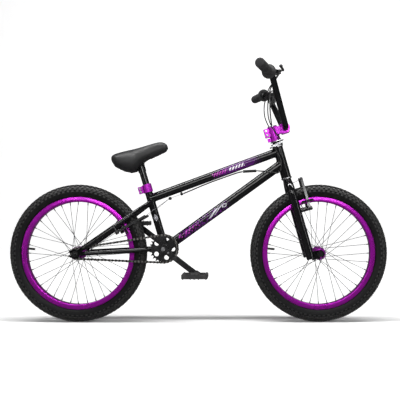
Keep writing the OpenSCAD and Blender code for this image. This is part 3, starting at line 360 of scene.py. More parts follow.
def top_tube_paint():
    paint, scuff = gloss_paint("top_tube_paint")
    along, high = on_tube(paint, top_start, top_end)
    fade = along.rise(0.235, 0.31) * (1 - along.rise(0.38, 0.445)) * high.band(-0.0125, 0.0125, 0.001)
    speck = paint.noise(170.0, 2.0).rise(0.40, 0.62)
    colour = paint.blend(fade * (0.35 + 0.65 * speck), paint.colour, VIOLET_INK)
    row = high.band(-0.0056, 0.0056, 0.0004)
    violet = strokes(along, high, 0.246, 0.302, 0.0105, 0.8, 0.55) * row
    white = strokes(along, high, 0.312, 0.372, 0.0120, 0.8, 0.58) * row
    colour = paint.blend(violet, colour, PINK_INK)
    colour = paint.blend(white, colour, WHITE_INK)
    paint.feed(base_color=paint.blend(scuff * 0.4, colour, GREY_DUST))
    return paint.material


def down_tube_paint():
    paint, scuff = gloss_paint("down_tube_paint")
    along, high = on_tube(paint, crank_at, down_end)
    torn = paint.noise(140.0, 4.0)
    band = high.band(-0.0078, 0.0078, 0.0006)
    streak = strokes(along, high, 0.066, 0.158, 0.0155, 1.1, 0.46) * band * torn.rise(0.42, 0.56)
    colour = paint.blend(streak, paint.colour, PINK_INK)
    haze = along.rise(0.05, 0.10) * (1 - along.rise(0.26, 0.30)) * high.band(-0.013, 0.013, 0.003)
    colour = paint.blend(haze * torn.rise(0.42, 0.60) * (1 - streak) * 0.8, colour, VIOLET_INK)
    middle = along - 0.222
    shard = (high - middle * 0.36).band(-0.0030, 0.0030, 0.0004) * middle.band(-0.040, 0.034, 0.002)
    second = (high - middle * 0.36 + 0.0078).band(-0.0014, 0.0014, 0.0004)
    second = second * middle.band(-0.026, 0.048, 0.002)
    kite = ((along - 0.272).sum("ABSOLUTE") * 0.7 + high.sum("ABSOLUTE")).band(0.0052, 0.0084, 0.0004)
    silver = (shard + second + kite) * band
    colour = paint.blend(silver.sum("MINIMUM", 1.0), colour, SILVER_INK)
    paint.feed(base_color=paint.blend(scuff * 0.4, colour, GREY_DUST))
    return paint.material


def seat_tube_paint():
    paint, scuff = gloss_paint("seat_tube_paint")
    along, high = on_tube(paint, crank_at, crank_at + 0.25 * seat_up)
    low = along - 0.118
    badge = low.sum("ABSOLUTE") * 0.55 + high.sum("ABSOLUTE")
    ring = badge.band(0.0058, 0.0076, 0.0004) + badge.band(-0.001, 0.0030, 0.0004)
    colour = paint.blend(ring.sum("MINIMUM", 1.0), paint.colour, SILVER_INK)
    paint.feed(base_color=paint.blend(scuff * 0.4, colour, GREY_DUST))
    return paint.material


tube_paints = {"top_tube": top_tube_paint(), "down_tube": down_tube_paint(), "seat_tube": seat_tube_paint()}
print("painted tubes:", list(tube_paints))

# %% [markdown]
# ## Violet anodising
# Rims, hubs, stem and clamps are anodised: dye sits in the aluminium's own skin, so the colour
# is a tinted metal, not a coat. Fine turning marks and a few dull patches keep it from
# looking like sweets.

# %% Anodised metal
def anodised(name, colour, roughness=0.34):
    metal = Finish(name, colour, roughness, metallic=0.72, coat=0.25, coat_roughness=0.2)
    deep = tuple(c * 0.62 for c in colour)
    cloud = metal.noise(14.0, 4.0).rise(0.35, 0.75)
    grain = metal.noise(900.0, 2.0)
    metal.feed(base_color=metal.blend(cloud * 0.5, metal.colour, deep),
               roughness=roughness - 0.06 + cloud * 0.10 + grain * 0.06)
    metal.relief(grain, 0.00003, 0.4)
    return metal.material


violet = anodised("violet_anodised", (0.46, 0.010, 0.50))
bright_violet = anodised("bright_violet_anodised", (0.66, 0.03, 0.62), 0.28)
print("anodised finishes: 2")

# %% [markdown]
# ## Plated steel, black alloy and moulded plastic
# Small hardware differs more by its wear than by its colour: bright plate clouds, black alloy
# rubs to grey, and moulded nylon has a spark-eroded grain.

# %% Metals and plastics
def plated(name, colour, roughness, metallic=1.0):
    steel = Finish(name, colour, roughness, metallic=metallic)
    dull = tuple(c * 0.45 for c in colour)
    patch = steel.noise(90.0, 5.0).rise(0.40, 0.70)
    steel.feed(base_color=steel.blend(patch * 0.6, steel.colour, dull), roughness=roughness + patch * 0.18)
    steel.relief(steel.noise(1400.0, 2.0), 0.00002, 0.4)
    return steel.material


CHAIN_PITCH = 0.0127


def link_steel():
    """Oiled plates, with painted shade darkening the middle of each link where the gap between its plates
    would fall in shadow, and a bright rivet at each end.
    """
    steel = Finish("oiled_chain_steel", (0.30, 0.29, 0.28), 0.30, metallic=1.0)
    way = unit(crank_at - wheels["rear"])
    link = (steel.dot(steel.place(), way) / CHAIN_PITCH).sum("FRACT")
    # painted shade: the middle of each link is darkened as if the gap between its plates were in shadow
    painted_gap_shade = link.band(0.28, 0.72, 0.10)
    oil = steel.noise(120.0, 4.0).rise(0.40, 0.65)
    # the near-black mix is partly real oil patches and partly the painted shade of the link gaps
    oil_and_gap_shade = (painted_gap_shade * 0.75 + oil * 0.4).sum("MINIMUM", 1.0)
    steel.feed(base_color=steel.blend(oil_and_gap_shade, steel.colour, (0.025, 0.023, 0.022)),
               roughness=0.24 + oil * 0.25)
    steel.relief(steel.noise(1400.0, 2.0), 0.00002, 0.4)
    return steel.material


def black_alloy(name):
    alloy = Finish(name, (0.010, 0.010, 0.011), 0.26, metallic=0.35, coat=0.7, coat_roughness=0.12)
    patch = alloy.noise(55.0, 5.0).rise(0.45, 0.72)
    nick = alloy.noise(700.0, 3.0).rise(0.64, 0.70) * patch
    alloy.feed(base_color=alloy.blend(nick, alloy.colour, (0.22, 0.22, 0.23)),
               roughness=0.22 + patch * 0.16)
    alloy.relief(alloy.noise(800.0, 1.0), 0.00004, 0.5)
    return alloy.material


def moulded(name, colour, roughness, grain=1500.0, depth=0.00008):
    plastic = Finish(name, colour, roughness)
    dusty(plastic, roughness, min(1.0, roughness + 0.16), GREY_DUST, 0.5)
    plastic.relief(plastic.noise(grain, 2.0), depth, 0.6)
    return plastic.material


bright_steel = plated("bright_plated_steel", (0.55, 0.55, 0.57), 0.24)
spoke_steel = plated("spoke_steel", (0.045, 0.045, 0.050), 0.38, 0.35)
dark_alloy = black_alloy("black_alloy")
chain_steel = link_steel()
black_nylon = moulded("black_nylon", (0.016, 0.016, 0.017), 0.50)
tube_rubber = moulded("valve_rubber", (0.013, 0.013, 0.013), 0.62)
sheath = moulded("cable_sheath", (0.008, 0.008, 0.009), 0.28, 700.0, 0.00003)
print("hardware finishes: 7")

# %% Dress the hard parts
DRESS = {
    black_paint: ["head_tube", "bottom_bracket_shell", "seat_stays", "chain_stays", "rear_dropouts",
                  "rear_brake_fittings", "fork_steerer", "fork_legs", "seat_post", "handlebar"],
    violet: ["seat_clamp", "rear_hub", "front_hub", "rear_rim", "front_rim", "steerer_clamp_ring", "stem"],
    bright_violet: ["stem_clamp"],
    bright_steel: ["headset_cups", "bottom_bracket_bearings", "seat_clamp_bolts", "saddle_bolt",
                   "driver", "crank_spindle", "crank_bolts", "pedal_axles",
                   "stem_bolts", "rotor_lower_plate", "rotor_lower_ring", "rotor_upper_ring",
                   "rotor_upper_plate"],
    spoke_steel: ["rear_spokes", "front_spokes"],
    chain_steel: ["chain"],
    dark_alloy: ["rear_axle", "front_axle", "crank_arms", "chainring", "lever_brackets",
                 "front_brake_lever", "rear_brake_lever",
                 "front_brake_arm_left", "front_brake_arm_right", "rear_brake_arm_left",
                 "rear_brake_arm_right"],
    black_nylon: ["saddle_base", "right_pedal", "left_pedal"],
    tube_rubber: ["rear_inner_tube", "front_inner_tube"],
    sheath: ["cable_joiner"],
}
dress = {node: finish for finish, names in DRESS.items() for node in names} | tube_paints
for node, finish in dress.items():
    mesh = nodes[node].data
    mesh.materials.clear()
    mesh.materials.append(finish)
print("dressed", len(dress), "of", len(nodes))

# %% [markdown]
# ## Tyres
# A BMX tyre is a ring of casing with rows of rubber blocks. The casing is one closed profile
# carried round the wheel. Each block is eight corners in tyre coordinates (turn round the
# wheel, angle round the section, distance from the section's middle), so all of them are
# worked out at once and bend with the tyre.

# %% Tyres
SECTION = 0.228          # from the axle to the middle of the tyre's section
TREAD = 0.0268           # from the section's middle to the top of a block
CASING = 0.0226          # and to the casing between blocks
BLOCK_ROWS = np.radians([-85, -68, -51, -34, -17, 0, 17, 34, 51, 68, 85])
BLOCKS_ROUND = 84


def tyre_point(centre, turn, angle, out):
    """Distance from the axle = section + out cos(angle); distance sideways = out sin(angle)."""
    r = SECTION + out * np.cos(angle)
    return np.stack([centre[0] + r * np.cos(turn), out * np.sin(angle) + 0 * turn,
                     centre[2] + r * np.sin(turn)], -1)


def tyre_casing(centre, around=180):
    """A closed profile, out over the tread and back inside, carried round the axle."""
    a = np.radians(np.linspace(-136, 136, 41))
    lift = np.clip((np.abs(np.degrees(a)) - 66) / 22, 0, 1)
    outer = CASING + 0.0028 * lift * lift * (3 - 2 * lift)
    profile_a = np.concatenate([a, a[::-1]])
    profile_r = np.concatenate([outer, np.full(41, CASING - 0.0020)])
    turn = np.linspace(0, 2 * np.pi, around, endpoint=False)
    points = tyre_point(centre, turn[:, None], profile_a[None, :], profile_r[None, :])
    uv = np.stack(np.broadcast_arrays(turn[:, None] / (2 * np.pi), np.degrees(profile_a)[None, :] / 100), -1)
    return points.reshape(-1, 3), grid_faces(around, 82, wrap_n=True)[:, ::-1].tolist(), uv.reshape(-1, 2)


def tyre_blocks(centre):
    """Corner = block's place + half its size, smaller at the top than at the foot."""
    row = BLOCK_ROWS[:, None, None]
    step = 2 * np.pi / BLOCKS_ROUND
    turn = (np.arange(BLOCKS_ROUND)[None, :, None] + 0.5 * (np.arange(11) % 2)[:, None, None]) * step
    corner = np.array([[-1, -1], [1, -1], [1, 1], [-1, 1]] * 2, float)
    top = np.repeat([0, 1], 4)
    shoulder = np.abs(BLOCK_ROWS)[:, None, None] > 1.1
    long = np.where(shoulder, 0.31, 0.28) * step * (1 - 0.22 * top)
    wide = np.radians(np.where(shoulder, 7.5, 6.2)) * (1 - 0.25 * top)
    out = np.where(top == 1, np.where(np.abs(row) > 1.4, TREAD - 0.0006, TREAD), CASING - 0.0012)
    points = tyre_point(centre, turn + corner[:, 0] * long, row + corner[:, 1] * wide, out + 0 * turn)
    sides = [[0, 1, 5, 4], [1, 2, 6, 5], [2, 3, 7, 6], [3, 0, 4, 7], [4, 5, 6, 7], [3, 2, 1, 0]]
    count = len(BLOCK_ROWS) * BLOCKS_ROUND
    faces = (np.array(sides)[None] + 8 * np.arange(count)[:, None, None]).reshape(-1, 4)
    return points.reshape(-1, 3), faces[:, ::-1].tolist()


def block_rubber():
    rubber = Finish("block_rubber", (0.013, 0.013, 0.0135), 0.55)
    dusty(rubber, 0.50, 0.72, (0.040, 0.038, 0.036), 0.7, 90.0)
    rubber.relief(rubber.noise(700.0, 2.0), 0.00015, 0.6)
    return rubber.material


def tyre_rubber():
    rubber = Finish("tyre_rubber", (0.0050, 0.0050, 0.0055), 0.62)
    rubber.shader.inputs["Specular IOR Level"].default_value = 0.18
    turn, section, _ = rubber.axes(rubber.along())
    side = section.sum("ABSOLUTE")
    ribs = (turn * 230.0).sum("FRACT").band(0.2, 0.8, 0.15) * side.band(0.80, 0.93, 0.01)
    line = side.band(0.985, 1.0, 0.004) + side.band(1.10, 1.12, 0.004)
    grain = rubber.noise(900.0, 2.0)
    dust = rubber.noise(60.0, 6.0).rise(0.40, 0.70)
    rubber.feed(base_color=rubber.blend(dust * 0.4, rubber.colour, (0.013, 0.0125, 0.012)),
                roughness=0.56 + dust * 0.2)
    rubber.relief(ribs * 0.9 + line + grain * 0.12, 0.0010, 1.0)
    return rubber.material


tread_rubber, knob_rubber = tyre_rubber(), block_rubber()
for name, centre in wheels.items():
    points, faces, uv = tyre_casing(centre)
    block_points, block_faces = tyre_blocks(centre)
    casing = make_piece(name + "_tyre_casing", points, faces, tread_rubber, name + "_wheel", uv)
    block_uv = np.zeros((len(block_points), 2))
    blocks = make_piece(name + "_tyre_blocks", block_points, block_faces, knob_rubber,
                        name + "_wheel", block_uv, smooth=False)
    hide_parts(name + "_tyre")
    print(name, "tyre faces", len(faces) + len(block_faces))

# %% [markdown]
# ## Rims
# A rim is an extruded box section rolled into a hoop. Its side walls lean in a little towards
# the tyre, so that the top of the wheel catches the light from above and the foot of the
# wheel doesn't. The section is half a profile, mirrored, and carried round the axle.

# %% Rims
RIM_HALF = np.array([[189.9, 4.0], [189.9, 9.0], [190.1, 12.8], [190.6, 14.5], [191.5, 15.5], [193.0, 15.95],
                     [198.0, 15.9], [203.0, 15.35], [207.4, 14.8], [208.7, 14.55], [209.1, 14.2],
                     [208.7, 13.75], [203.2, 13.6], [202.9, 10.1], [200.2, 9.0]]) * MM


def rim_section():
    """Half a profile as (distance from the axle, distance sideways), then the same mirrored."""
    return np.concatenate([RIM_HALF, RIM_HALF[::-1] * [1, -1]])


def rim_hoop(centre, around=240):
    """Point = centre + distance from the axle (cos turn forward + sin turn up) + sideways."""
    section = rim_section()
    turn = np.linspace(0, 2 * np.pi, around, endpoint=False)[:, None]
    r, y = section[None, :, 0], section[None, :, 1]
    points = np.stack([centre[0] + r * np.cos(turn), y + 0 * turn, centre[2] + r * np.sin(turn)], -1)
    uv = np.stack(np.broadcast_arrays(turn / 6.2832, r * 100), -1)
    return points.reshape(-1, 3), grid_faces(around, len(section), wrap_n=True)[:, ::-1].tolist(), uv


def rim_finish():
    metal = Finish("violet_rim", (0.46, 0.008, 0.48), 0.26, metallic=0.85, coat=0.3, coat_roughness=0.15)
    turn, out, _ = metal.axes(metal.along())
    lathe = metal.noise(1.0, 2.0, metal.node("ShaderNodeCombineXYZ", {}, [turn * 40.0, out * 260.0]))
    cloud = metal.noise(16.0, 4.0).rise(0.35, 0.75)
    metal.feed(base_color=metal.blend(cloud * 0.45, metal.colour, (0.33, 0.006, 0.38)),
               roughness=0.22 + cloud * 0.08 + lathe * 0.08)
    metal.relief(lathe, 0.00003, 0.5)
    return metal.material


rim_violet = rim_finish()
for name, centre in wheels.items():
    points, faces, uv = rim_hoop(centre)
    hoop = make_piece(name + "_rim_hoop", points, faces, rim_violet, name + "_wheel", uv)
    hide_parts(name + "_rim")
    print(name, "rim faces", len(faces))

# %% [markdown]
# ## Grips
# A grip is one moulding: soft ribs, and a flange at the inner end. It is a profile turned
# about the bar, so distance along the bar and radius are all it needs. The profile goes out
# along the ribs and back down the bore, which closes it.

# %% Grips
GRIP_LENGTH = 0.128


def bar_frame(side):
    """The bar's outer end, the way inward along it, and two directions across it."""
    back, rise = math.radians(16), math.radians(1.5)
    way = np.array([-math.sin(back) * math.cos(rise), math.cos(back) * math.cos(rise), math.sin(rise)])
    end = np.array([0.21647, 0.348, 0.88541])
    flip = np.array([1, side, 1])
    inward = -way * flip
    across = unit(np.cross(inward, (0, 0, 1)))
    return end * flip, inward, across, np.cross(inward, across)


def turned(side, z, r, sides=40):
    """Point = bar end + z along the bar + r (cos k across + sin k up)."""
    end, inward, a, b = bar_frame(side)
    k = np.arange(sides) * 2 * np.pi / sides
    ring = np.cos(k)[None, :, None] * a + np.sin(k)[None, :, None] * b
    points = end + z[:, None, None] * inward + r[:, None, None] * ring
    uv = np.stack(np.broadcast_arrays(k[None, :] / 6.283, z[:, None]), -1)
    return points.reshape(-1, 3), uv.reshape(-1, 2)


def grip_profile():
    """Ribs: radius = 15.4 mm + 1.3 mm times a rounded wave every 5.6 mm; then the flange."""
    z = np.linspace(0.004, 0.116, 150)
    wave = np.clip(0.5 - 0.5 * np.cos(2 * np.pi * z / 0.0056), 0, 1) ** 0.6
    r = 0.0154 + 0.0013 * wave
    flange_z = [0.1180, 0.1215, 0.1232, 0.1240, 0.1262, 0.1275, GRIP_LENGTH]
    flange_r = [0.0160, 0.0180, 0.0235, 0.0248, 0.0248, 0.0238, 0.0225]
    z = np.concatenate([[0.0, 0.0, 0.001], z, flange_z])
    r = np.concatenate([[0.0112, 0.0150, 0.0158], r, flange_r])
    bore = np.array([GRIP_LENGTH, 0.060])
    return np.concatenate([z, bore]), np.concatenate([r, [0.0112, 0.0112]])


def plug_profile():
    """The end plug: a low dome, a rim, and a stem inside the bar."""
    z = np.array([-0.0030, -0.0030, -0.0026, -0.0014, -0.0001, -0.0001, 0.0150, 0.0150])
    r = np.array([0.0001, 0.0090, 0.0128, 0.0150, 0.0152, 0.0093, 0.0093, 0.0001])
    return z, r


def grip_rubber():
    rubber = Finish("grip_rubber", (0.016, 0.016, 0.017), 0.66)
    turn, z, _ = rubber.axes(rubber.along())
    grain = rubber.noise(1300.0, 2.0)
    shine = rubber.noise(45.0, 3.0).rise(0.4, 0.7)
    notch = (turn * 22.0).sum("FRACT").band(0.10, 0.90, 0.06)
    rubber.feed(base_color=rubber.blend(shine * 0.5, rubber.colour, (0.030, 0.030, 0.031)),
                roughness=0.72 - shine * 0.16)
    rubber.relief(notch * z.band(0.004, 0.116, 0.0005) + grain * 0.2, 0.0007, 0.8)
    return rubber.material


soft_rubber = grip_rubber()
for side, name in ((1, "left"), (-1, "right")):
    z, r = grip_profile()
    points, uv = turned(side, z, r)
    faces = grid_faces(len(z), 40, wrap_n=True)
    faces = (faces if side > 0 else faces)[:, ::-1].tolist()
    grip = make_piece(name + "_grip", points, faces, soft_rubber, "fork", uv)
    z, r = plug_profile()
    points, uv = turned(side, z, r)
    faces = grid_faces(len(z), 40)[:, ::-1].tolist()
    faces += [list(range(40)), list(range((len(z) - 1) * 40, len(z) * 40))[::-1]]
    plug = make_piece(name + "_bar_plug", points, faces, soft_rubber, "fork", uv)
    if side > 0:
        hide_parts("grips")
    print(name, "grip faces", len(grip.data.polygons))

# %% [markdown]
# ## Brake cables
# Each cable runs through the same points as its hard part, in metres, but on a smooth
# curve. Sheathed lengths and bare wires are separate pieces, because one is glossy plastic and
# the other is twisted steel.

# %% Cables
NEAR = [[287, -196.4, 884], [287, -170, 887], [281, -130, 882], [270, -90, 866],
        [260, -58, 838], [256, -36, 800], [258, -27, 760], [268, -25, 728], [286, -24, 700],
        [304.2, -24, 675.8]]
FAR = [[287, -196.4, 880], [284, -160, 878], [274, -115, 870], [260, -70, 856],
       [250, -28, 830], [244, 4, 796], [248, 20, 762], [262, 25, 730], [284, 24, 702],
       [304.2, 24, 675.8]]
FRONT = [[287, 196.4, 882], [286, 160, 886], [277, 110, 878], [270, 70, 862], [267, 40, 838],
         [266, 18, 808], [267, 6, 778], [269.5, 0, 750], [273.5, 0, 722], [278, 0, 706.2],
         [327.3, 0, 533.1], [332.2, 0, 515.8]]
STRADDLE = [[334.4, 0, 508.2], [335.4, 1.6, 507.6], [378.6, 30.7, 529.6]]
HOUSING = [[-57, 0, 476], [-30, 0, 487], [0, 0, 500], [50, 0, 520], [100, 0, 538],
           [140, 0, 552], [164, 0, 558]]
LOWER = [[216, 3, 561], [230, 12, 560], [246, 21, 559], [264, 25, 556], [284, 27, 553],
         [300, 28, 556], [305, 28, 572], [304, 27, 600], [290, 25, 632], [277, 24, 647.6]]
REAR_WIRE = [[-192, 38, 394], [-112, 3, 455], [-99, 0, 461], [-68, 0, 472]]
ACROSS, AHEAD = (0.0, 1.0, 0.0), (1.0, 0.0, 0.0)


def mirrored(route):
    return np.asarray(route, float) * [1, -1, 1]


def run(route, radius, side, sides=10, curved=True):
    path = np.asarray(route, float) * MM
    return tube(smooth_route(path) if curved else path, radius * MM, side, sides)


def twisted_wire():
    wire = Finish("brake_wire", (0.10, 0.10, 0.11), 0.34, metallic=0.5)
    x, y, z = wire.axes(wire.place())
    strand = ((x + z * 1.3 + y * 0.7) * 900.0).sum("FRACT").band(0.15, 0.85, 0.12)
    wire.feed(roughness=0.26 + wire.noise(500.0, 2.0) * 0.18)
    wire.relief(strand, 0.00008, 0.7)
    return wire.material


bare_wire = twisted_wire()
housings = {
    "upper_cable_housings": ("fork", joined([
        run(NEAR, 2.1, AHEAD), run(FAR, 2.1, AHEAD),
        run(FRONT[:10], 2.4, AHEAD), run(FRONT[9:], 2.4, AHEAD, curved=False)])),
    "rear_cable_housings": ("frame", joined([
        run(HOUSING, 2.4, ACROSS), run(LOWER, 1.6, AHEAD), run(mirrored(LOWER), 1.6, AHEAD)])),
}
wires = {
    "front_brake_wire": ("fork", joined([run([[332.5, 0, 515], STRADDLE[0]], 0.8, AHEAD, 8, False),
                                         run(STRADDLE, 0.8, AHEAD, 8, False),
                                         run(mirrored(STRADDLE), 0.8, AHEAD, 8, False)])),
    "rear_brake_wire": ("frame", joined([run(REAR_WIRE[:2], 0.8, ACROSS, 8, False),
                                         run(mirrored(REAR_WIRE[:2]), 0.8, ACROSS, 8, False),
                                         run(REAR_WIRE[2:], 0.8, ACROSS, 8, False)])),
}
for name, (body, (points, faces)) in housings.items():
    piece = make_piece(name, points, faces, sheath, body)
    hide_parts("upper_cables" if body == "fork" else "rear_brake_cable")
for name, (body, (points, faces)) in wires.items():
    make_piece(name, points, faces, bare_wire, body)
print("cable pieces:", len(housings) + len(wires))

# %% [markdown]
# ## Welds
# Every tube meets the next in a rippled bead of weld. The line where two round tubes cross has
# a formula: a point that slides along the joining tube's wall meets the other tube where its
# distance from that tube's axis is that tube's radius. The bead is a thin tube laid along it.

# %% Weld beads
def crossing(start, way, radius, main_at, main_way, main_radius, count=120):
    """Wall line k starts at q = start + radius (cos k u + sin k v) and goes along way. Its
    distance from the main axis is main_radius at the larger root of a quadratic."""
    way, main_way = unit(way), unit(main_way)
    u = unit(np.cross(way, main_way))
    v = np.cross(way, u)
    k = np.linspace(0, 2 * np.pi, count, endpoint=False)[:, None]
    q = start + radius * (np.cos(k) * u + np.sin(k) * v)
    w = q - main_at
    w = w - (w @ main_way)[:, None] * main_way
    d = way - (way @ main_way) * main_way
    a, b, c = d @ d, 2 * w @ d, (w * w).sum(1) - main_radius**2
    root = (-b + np.sqrt(np.clip(b * b - 4 * a * c, 0, None))) / (2 * a)
    return q + root[:, None] * way


def bead(path, way, size=0.0019):
    """Bead radius = size (1 + a tenth of a wave), 70 waves to the round."""
    ripple = size * (1 + 0.14 * np.sin(np.arange(len(path)) * 2 * np.pi * 0.31))
    return tube(path, ripple, way, 8, closed=True)


top_way, down_way = unit(top_end - top_start), unit(down_end - crank_at)
JOINTS = [
    (top_end, -top_way, 0.016, steer_foot, steer_up, 0.0185),
    (down_end, -down_way, 0.0175, steer_foot, steer_up, 0.0185),
    (top_start, top_way, 0.016, crank_at, seat_up, 0.0143),
    (crank_at, down_way, 0.0175, crank_at, (0, 1, 0), 0.023),
    (crank_at, seat_up, 0.0143, crank_at, (0, 1, 0), 0.023),
]
beads = [bead(crossing(start, way, r, main, axis, big), way) for start, way, r, main, axis, big in JOINTS]
points, faces = joined(beads)
welds = make_piece("frame_welds", points, faces, black_paint, "frame")
print("weld beads:", len(beads), "faces", len(faces))

# %% [markdown]
# ## The saddle
# A pivotal saddle is a pear-shaped pad on a plastic base, with two lobes that hang beside the
# post. Its section is a horseshoe that narrows to the nose. The horseshoes are worked out from
# the pad's outline, skinned, remeshed to even squares and blown up a little as cloth, so that
# the cover looks stretched over foam.

# %% Saddle pad
SADDLE_TILT = math.radians(15.7)
saddle_at = at("saddle_tilt")
saddle_x = np.array([math.cos(SADDLE_TILT), 0, math.sin(SADDLE_TILT)])
saddle_z = np.array([-math.sin(SADDLE_TILT), 0, math.cos(SADDLE_TILT)])
# along the saddle, half width, top, lowest edge, all in millimetres from the tilt axis
OUTLINE = np.array([
    [-97, 20, 46, 24], [-93, 34, 52, 10], [-86, 46, 55, 0], [-74, 55, 56, -10], [-58, 60, 55.5, -20],
    [-42, 61, 54.5, -27], [-26, 57, 53.5, -29], [-14, 50, 53, -25], [-4, 43, 52.5, -12], [8, 38, 52.5, -3],
    [28, 32.5, 53, 2.5], [48, 28, 54, 5.5], [70, 26, 55, 7], [88, 24.5, 55, 9], [102, 22, 52, 10.5],
    [111, 17, 46, 14], [117, 9, 37, 21]])
BASE_HALF = np.array([[-97, 14], [-80, 41], [-40, 43], [20, 19], [60, 13], [117, 5]])


def horseshoe(x, half, top, low, hollow, count=64):
    """Outside: half-width times cos and height times sin of an angle that runs from one
    lobe's foot over the top to the other's. Inside: the same turn, back through the hollow."""
    centre = np.clip(0.45 * top + 0.55 * low, 16, 60)
    turn = np.radians(np.linspace(-78, 258, count // 2))
    up = np.sin(turn)
    power = np.sign(np.cos(turn)) * np.abs(np.cos(turn)) ** 0.78
    y_out = half * power
    z_out = np.where(up > 0, centre + (top - centre) * np.abs(up) ** 0.85, centre + (centre - low) * up)
    back = turn[::-1]
    roof = min(24.0, top - 9)
    depth = max(roof - low, 4.0)
    y_in = hollow * np.cos(back) * 0.98
    z_in = roof - depth * np.clip(0.5 - 0.5 * np.sin(back), 0, 1) ** 2.2
    return np.stack([np.full(count, x), np.concatenate([y_out, y_in]), np.concatenate([z_out, z_in])], -1)


def saddle_skin():
    x = np.linspace(-97, 117, 46)
    half, top, low = (np.interp(x, OUTLINE[:, 0], OUTLINE[:, k]) for k in (1, 2, 3))
    hollow = np.minimum(np.interp(x, BASE_HALF[:, 0], BASE_HALF[:, 1]), half - 7)
    hollow = np.clip(hollow, 1.0, None)
    rings = np.stack([horseshoe(*row) for row in zip(x, half, top, low, hollow)])
    local = rings.reshape(-1, 3) * MM
    points = saddle_at + local[:, :1] * saddle_x + local[:, 1:2] * [0, 1, 0] + local[:, 2:] * saddle_z
    faces = grid_faces(46, 64).tolist()
    faces += [list(range(64))[::-1], list(range(45 * 64, 46 * 64))]
    return points, faces


points, faces = saddle_skin()
print("saddle outline", np.round(np.ptp(points, axis=0), 3))

# %% Saddle finish
def saddle_vinyl():
    vinyl = Finish("saddle_vinyl", (0.0075, 0.0075, 0.0080), 0.50)
    grain = vinyl.cells(620.0)
    fine = vinyl.noise(1600.0, 2.0)
    worn = vinyl.noise(24.0, 4.0).rise(0.38, 0.72)
    vinyl.feed(base_color=vinyl.blend(worn * 0.6, vinyl.colour, (0.014, 0.014, 0.015)),
               roughness=0.46 + worn * 0.14)
    vinyl.relief(grain * 0.8 + fine * 0.3, 0.00022, 0.7)
    return vinyl.material


cover_vinyl = saddle_vinyl()
print("saddle finish ready")

# %% Blow up the pad
def even_mesh(piece, size):
    """Even squares all over, so that the cloth stretches alike everywhere."""
    remesh = piece.modifiers.new("even", "REMESH")
    remesh.mode = "VOXEL"
    remesh.voxel_size = size


def keep(piece):
    """The mesh as its modifiers leave it, with none left on the piece."""
    bpy.context.view_layer.update()
    shape = piece.evaluated_get(bpy.context.evaluated_depsgraph_get())
    mesh = bpy.data.meshes.new_from_object(shape)
    piece.modifiers.clear()
    piece.data = mesh
    return mesh


def corners(mesh):
    co = np.empty(len(mesh.vertices) * 3, np.float32)
    mesh.vertices.foreach_get("co", co)
    return co.reshape(-1, 3).astype(float)


def blow_up(piece, pressure, cap, frames=18):
    """Cloth with air pressure and no gravity; no point moves further than the cap."""
    start = corners(piece.data)
    cloth = piece.modifiers.new("cloth", "CLOTH")
    cloth.settings.use_pressure = True
    cloth.settings.uniform_pressure_force = pressure
    cloth.settings.effector_weights.gravity = 0
    cloth.settings.tension_stiffness = 30
    cloth.settings.compression_stiffness = 30
    cloth.point_cache.frame_start = 1
    cloth.point_cache.frame_end = frames
    for number in range(1, frames + 1):
        bpy.context.scene.frame_set(number)
    end = corners(keep(piece))
    bpy.context.scene.frame_set(1)
    move = end - start
    length = np.linalg.norm(move, axis=1, keepdims=True)
    eased = move * (cap * np.tanh(length / cap) / np.maximum(length, 1e-9))
    piece.data.vertices.foreach_set("co", (start + eased).ravel())
    return float(length.max())


pad = make_piece("saddle_pad", points, faces, cover_vinyl, "saddle")
even_mesh(pad, 0.0045)
keep(pad)
print("cloth moved", round(blow_up(pad, 4.0, 0.004), 4))
smooth = pad.modifiers.new("smooth", "SMOOTH")
smooth.factor, smooth.iterations = 0.5, 6
finer = pad.modifiers.new("finer", "SUBSURF")
finer.levels = finer.render_levels = 1
keep(pad)
pad.data.polygons.foreach_set("use_smooth", np.full(len(pad.data.polygons), True))
pad.data.materials.clear()
pad.data.materials.append(cover_vinyl)
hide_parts("saddle_cover")
print("saddle pad faces", len(pad.data.polygons))

# %% [markdown]
# ## Studio
# A white sweep runs from under the wheels up behind the bicycle, so no horizon shows. One broad
# light above gives the long highlights on the tubes, two at the sides fill, and the sky is
# an even white.

# %% Sweep, lights and sky
def sweep(half=9.0, front=-5.0, back=4.0, height=7.0, bend=2.0):
    """Floor, a quarter circle, and a wall, as one strip of points pulled sideways."""
    k = np.linspace(0, np.pi / 2, 20)
    y = np.concatenate([[front], back + bend * np.sin(k), [back + bend]])
    z = np.concatenate([[0.0], bend - bend * np.cos(k), [height]])
    x = np.array([-half, half])
    points = np.stack(np.broadcast_arrays(x[None, :], y[:, None], z[:, None]), -1)
    return points.reshape(-1, 3), grid_faces(len(y), 2, wrap_m=False)[:, ::-1].tolist()


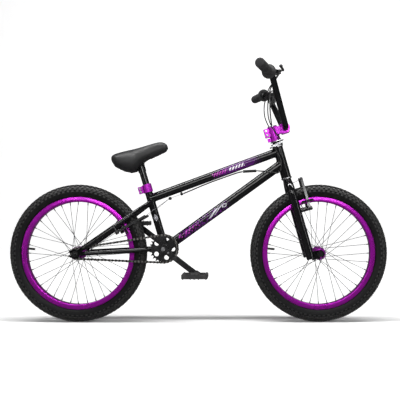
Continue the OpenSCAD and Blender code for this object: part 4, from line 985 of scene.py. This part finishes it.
def stage_white():
    """White to look at. In a shiny surface it shows as dark, as black cards beside a set would."""
    white = Finish("stage_white", (0.88, 0.88, 0.88), 0.9)
    shine = white.node("ShaderNodeLightPath", {}, {}, "Is Glossy Ray")
    white.feed(base_color=white.blend(shine, white.colour, (0.10, 0.10, 0.10)))
    seen = white.node("ShaderNodeLightPath", {}, {}, "Is Camera Ray")
    depth = white.axes(white.place())[1]
    glow = depth.rise(0.3, 2.4) * seen
    white.feed(emission_color=white.blend(glow, (0.0, 0.0, 0.0), (0.55, 0.55, 0.55)))
    white.shader.inputs["Emission Strength"].default_value = 1.0
    return white.material


points, faces = sweep()
mesh = bpy.data.meshes.new("sweep")
mesh.from_pydata(points.tolist(), [], faces)
mesh.materials.append(stage_white())
floor = bpy.data.objects.new("sweep", mesh)
bpy.context.scene.collection.objects.link(floor)


def softbox(name, place, aim, size, power):
    data = bpy.data.lights.new(name, "AREA")
    data.shape, data.size, data.size_y, data.energy = "RECTANGLE", size[0], size[1], power
    lamp = bpy.data.objects.new(name, data)
    lamp.location = place
    way = np.subtract(aim, place)
    lamp.rotation_euler = (math.atan2(math.hypot(way[0], way[1]), -way[2]), 0, math.atan2(-way[0], way[1]))
    bpy.context.scene.collection.objects.link(lamp)
    return lamp


softbox("overhead", (0.0, -0.35, 2.6), (0.0, -0.05, 0.3), (4.4, 0.22), 120.0)
softbox("front_high", (0.0, -3.6, 2.1), (0.0, 0.0, 0.4), (3.6, 0.20), 24.0)
softbox("rim_kick", (0.0, -3.6, 1.35), (0.0, 0.0, 0.45), (3.2, 0.22), 30.0)
softbox("left_strip", (-2.1, -1.7, 0.9), (0.0, 0.0, 0.5), (0.10, 2.2), 5.0)
softbox("right_strip", (2.3, -1.7, 0.9), (0.0, 0.0, 0.5), (0.10, 2.2), 10.0)
softbox("wall_wash", (0.0, 3.2, 3.4), (0.0, 6.0, 1.2), (6.0, 1.0), 45.0)
sky = bpy.data.worlds.new("sky")
sky.use_nodes = True
seen = sky.node_tree.nodes.new("ShaderNodeLightPath").outputs["Is Camera Ray"]
level = sky.node_tree.nodes.new("ShaderNodeMapRange")
level.inputs["To Min"].default_value, level.inputs["To Max"].default_value = 0.15, 1.0
sky.node_tree.links.new(seen, level.inputs["Value"])
sky.node_tree.links.new(level.outputs["Result"], sky.node_tree.nodes["Background"].inputs["Strength"])
sky.node_tree.nodes["Background"].inputs["Color"].default_value = (1.0, 1.0, 1.0, 1.0)
bpy.context.scene.world = sky
bpy.context.scene.view_settings.view_transform = "Standard"
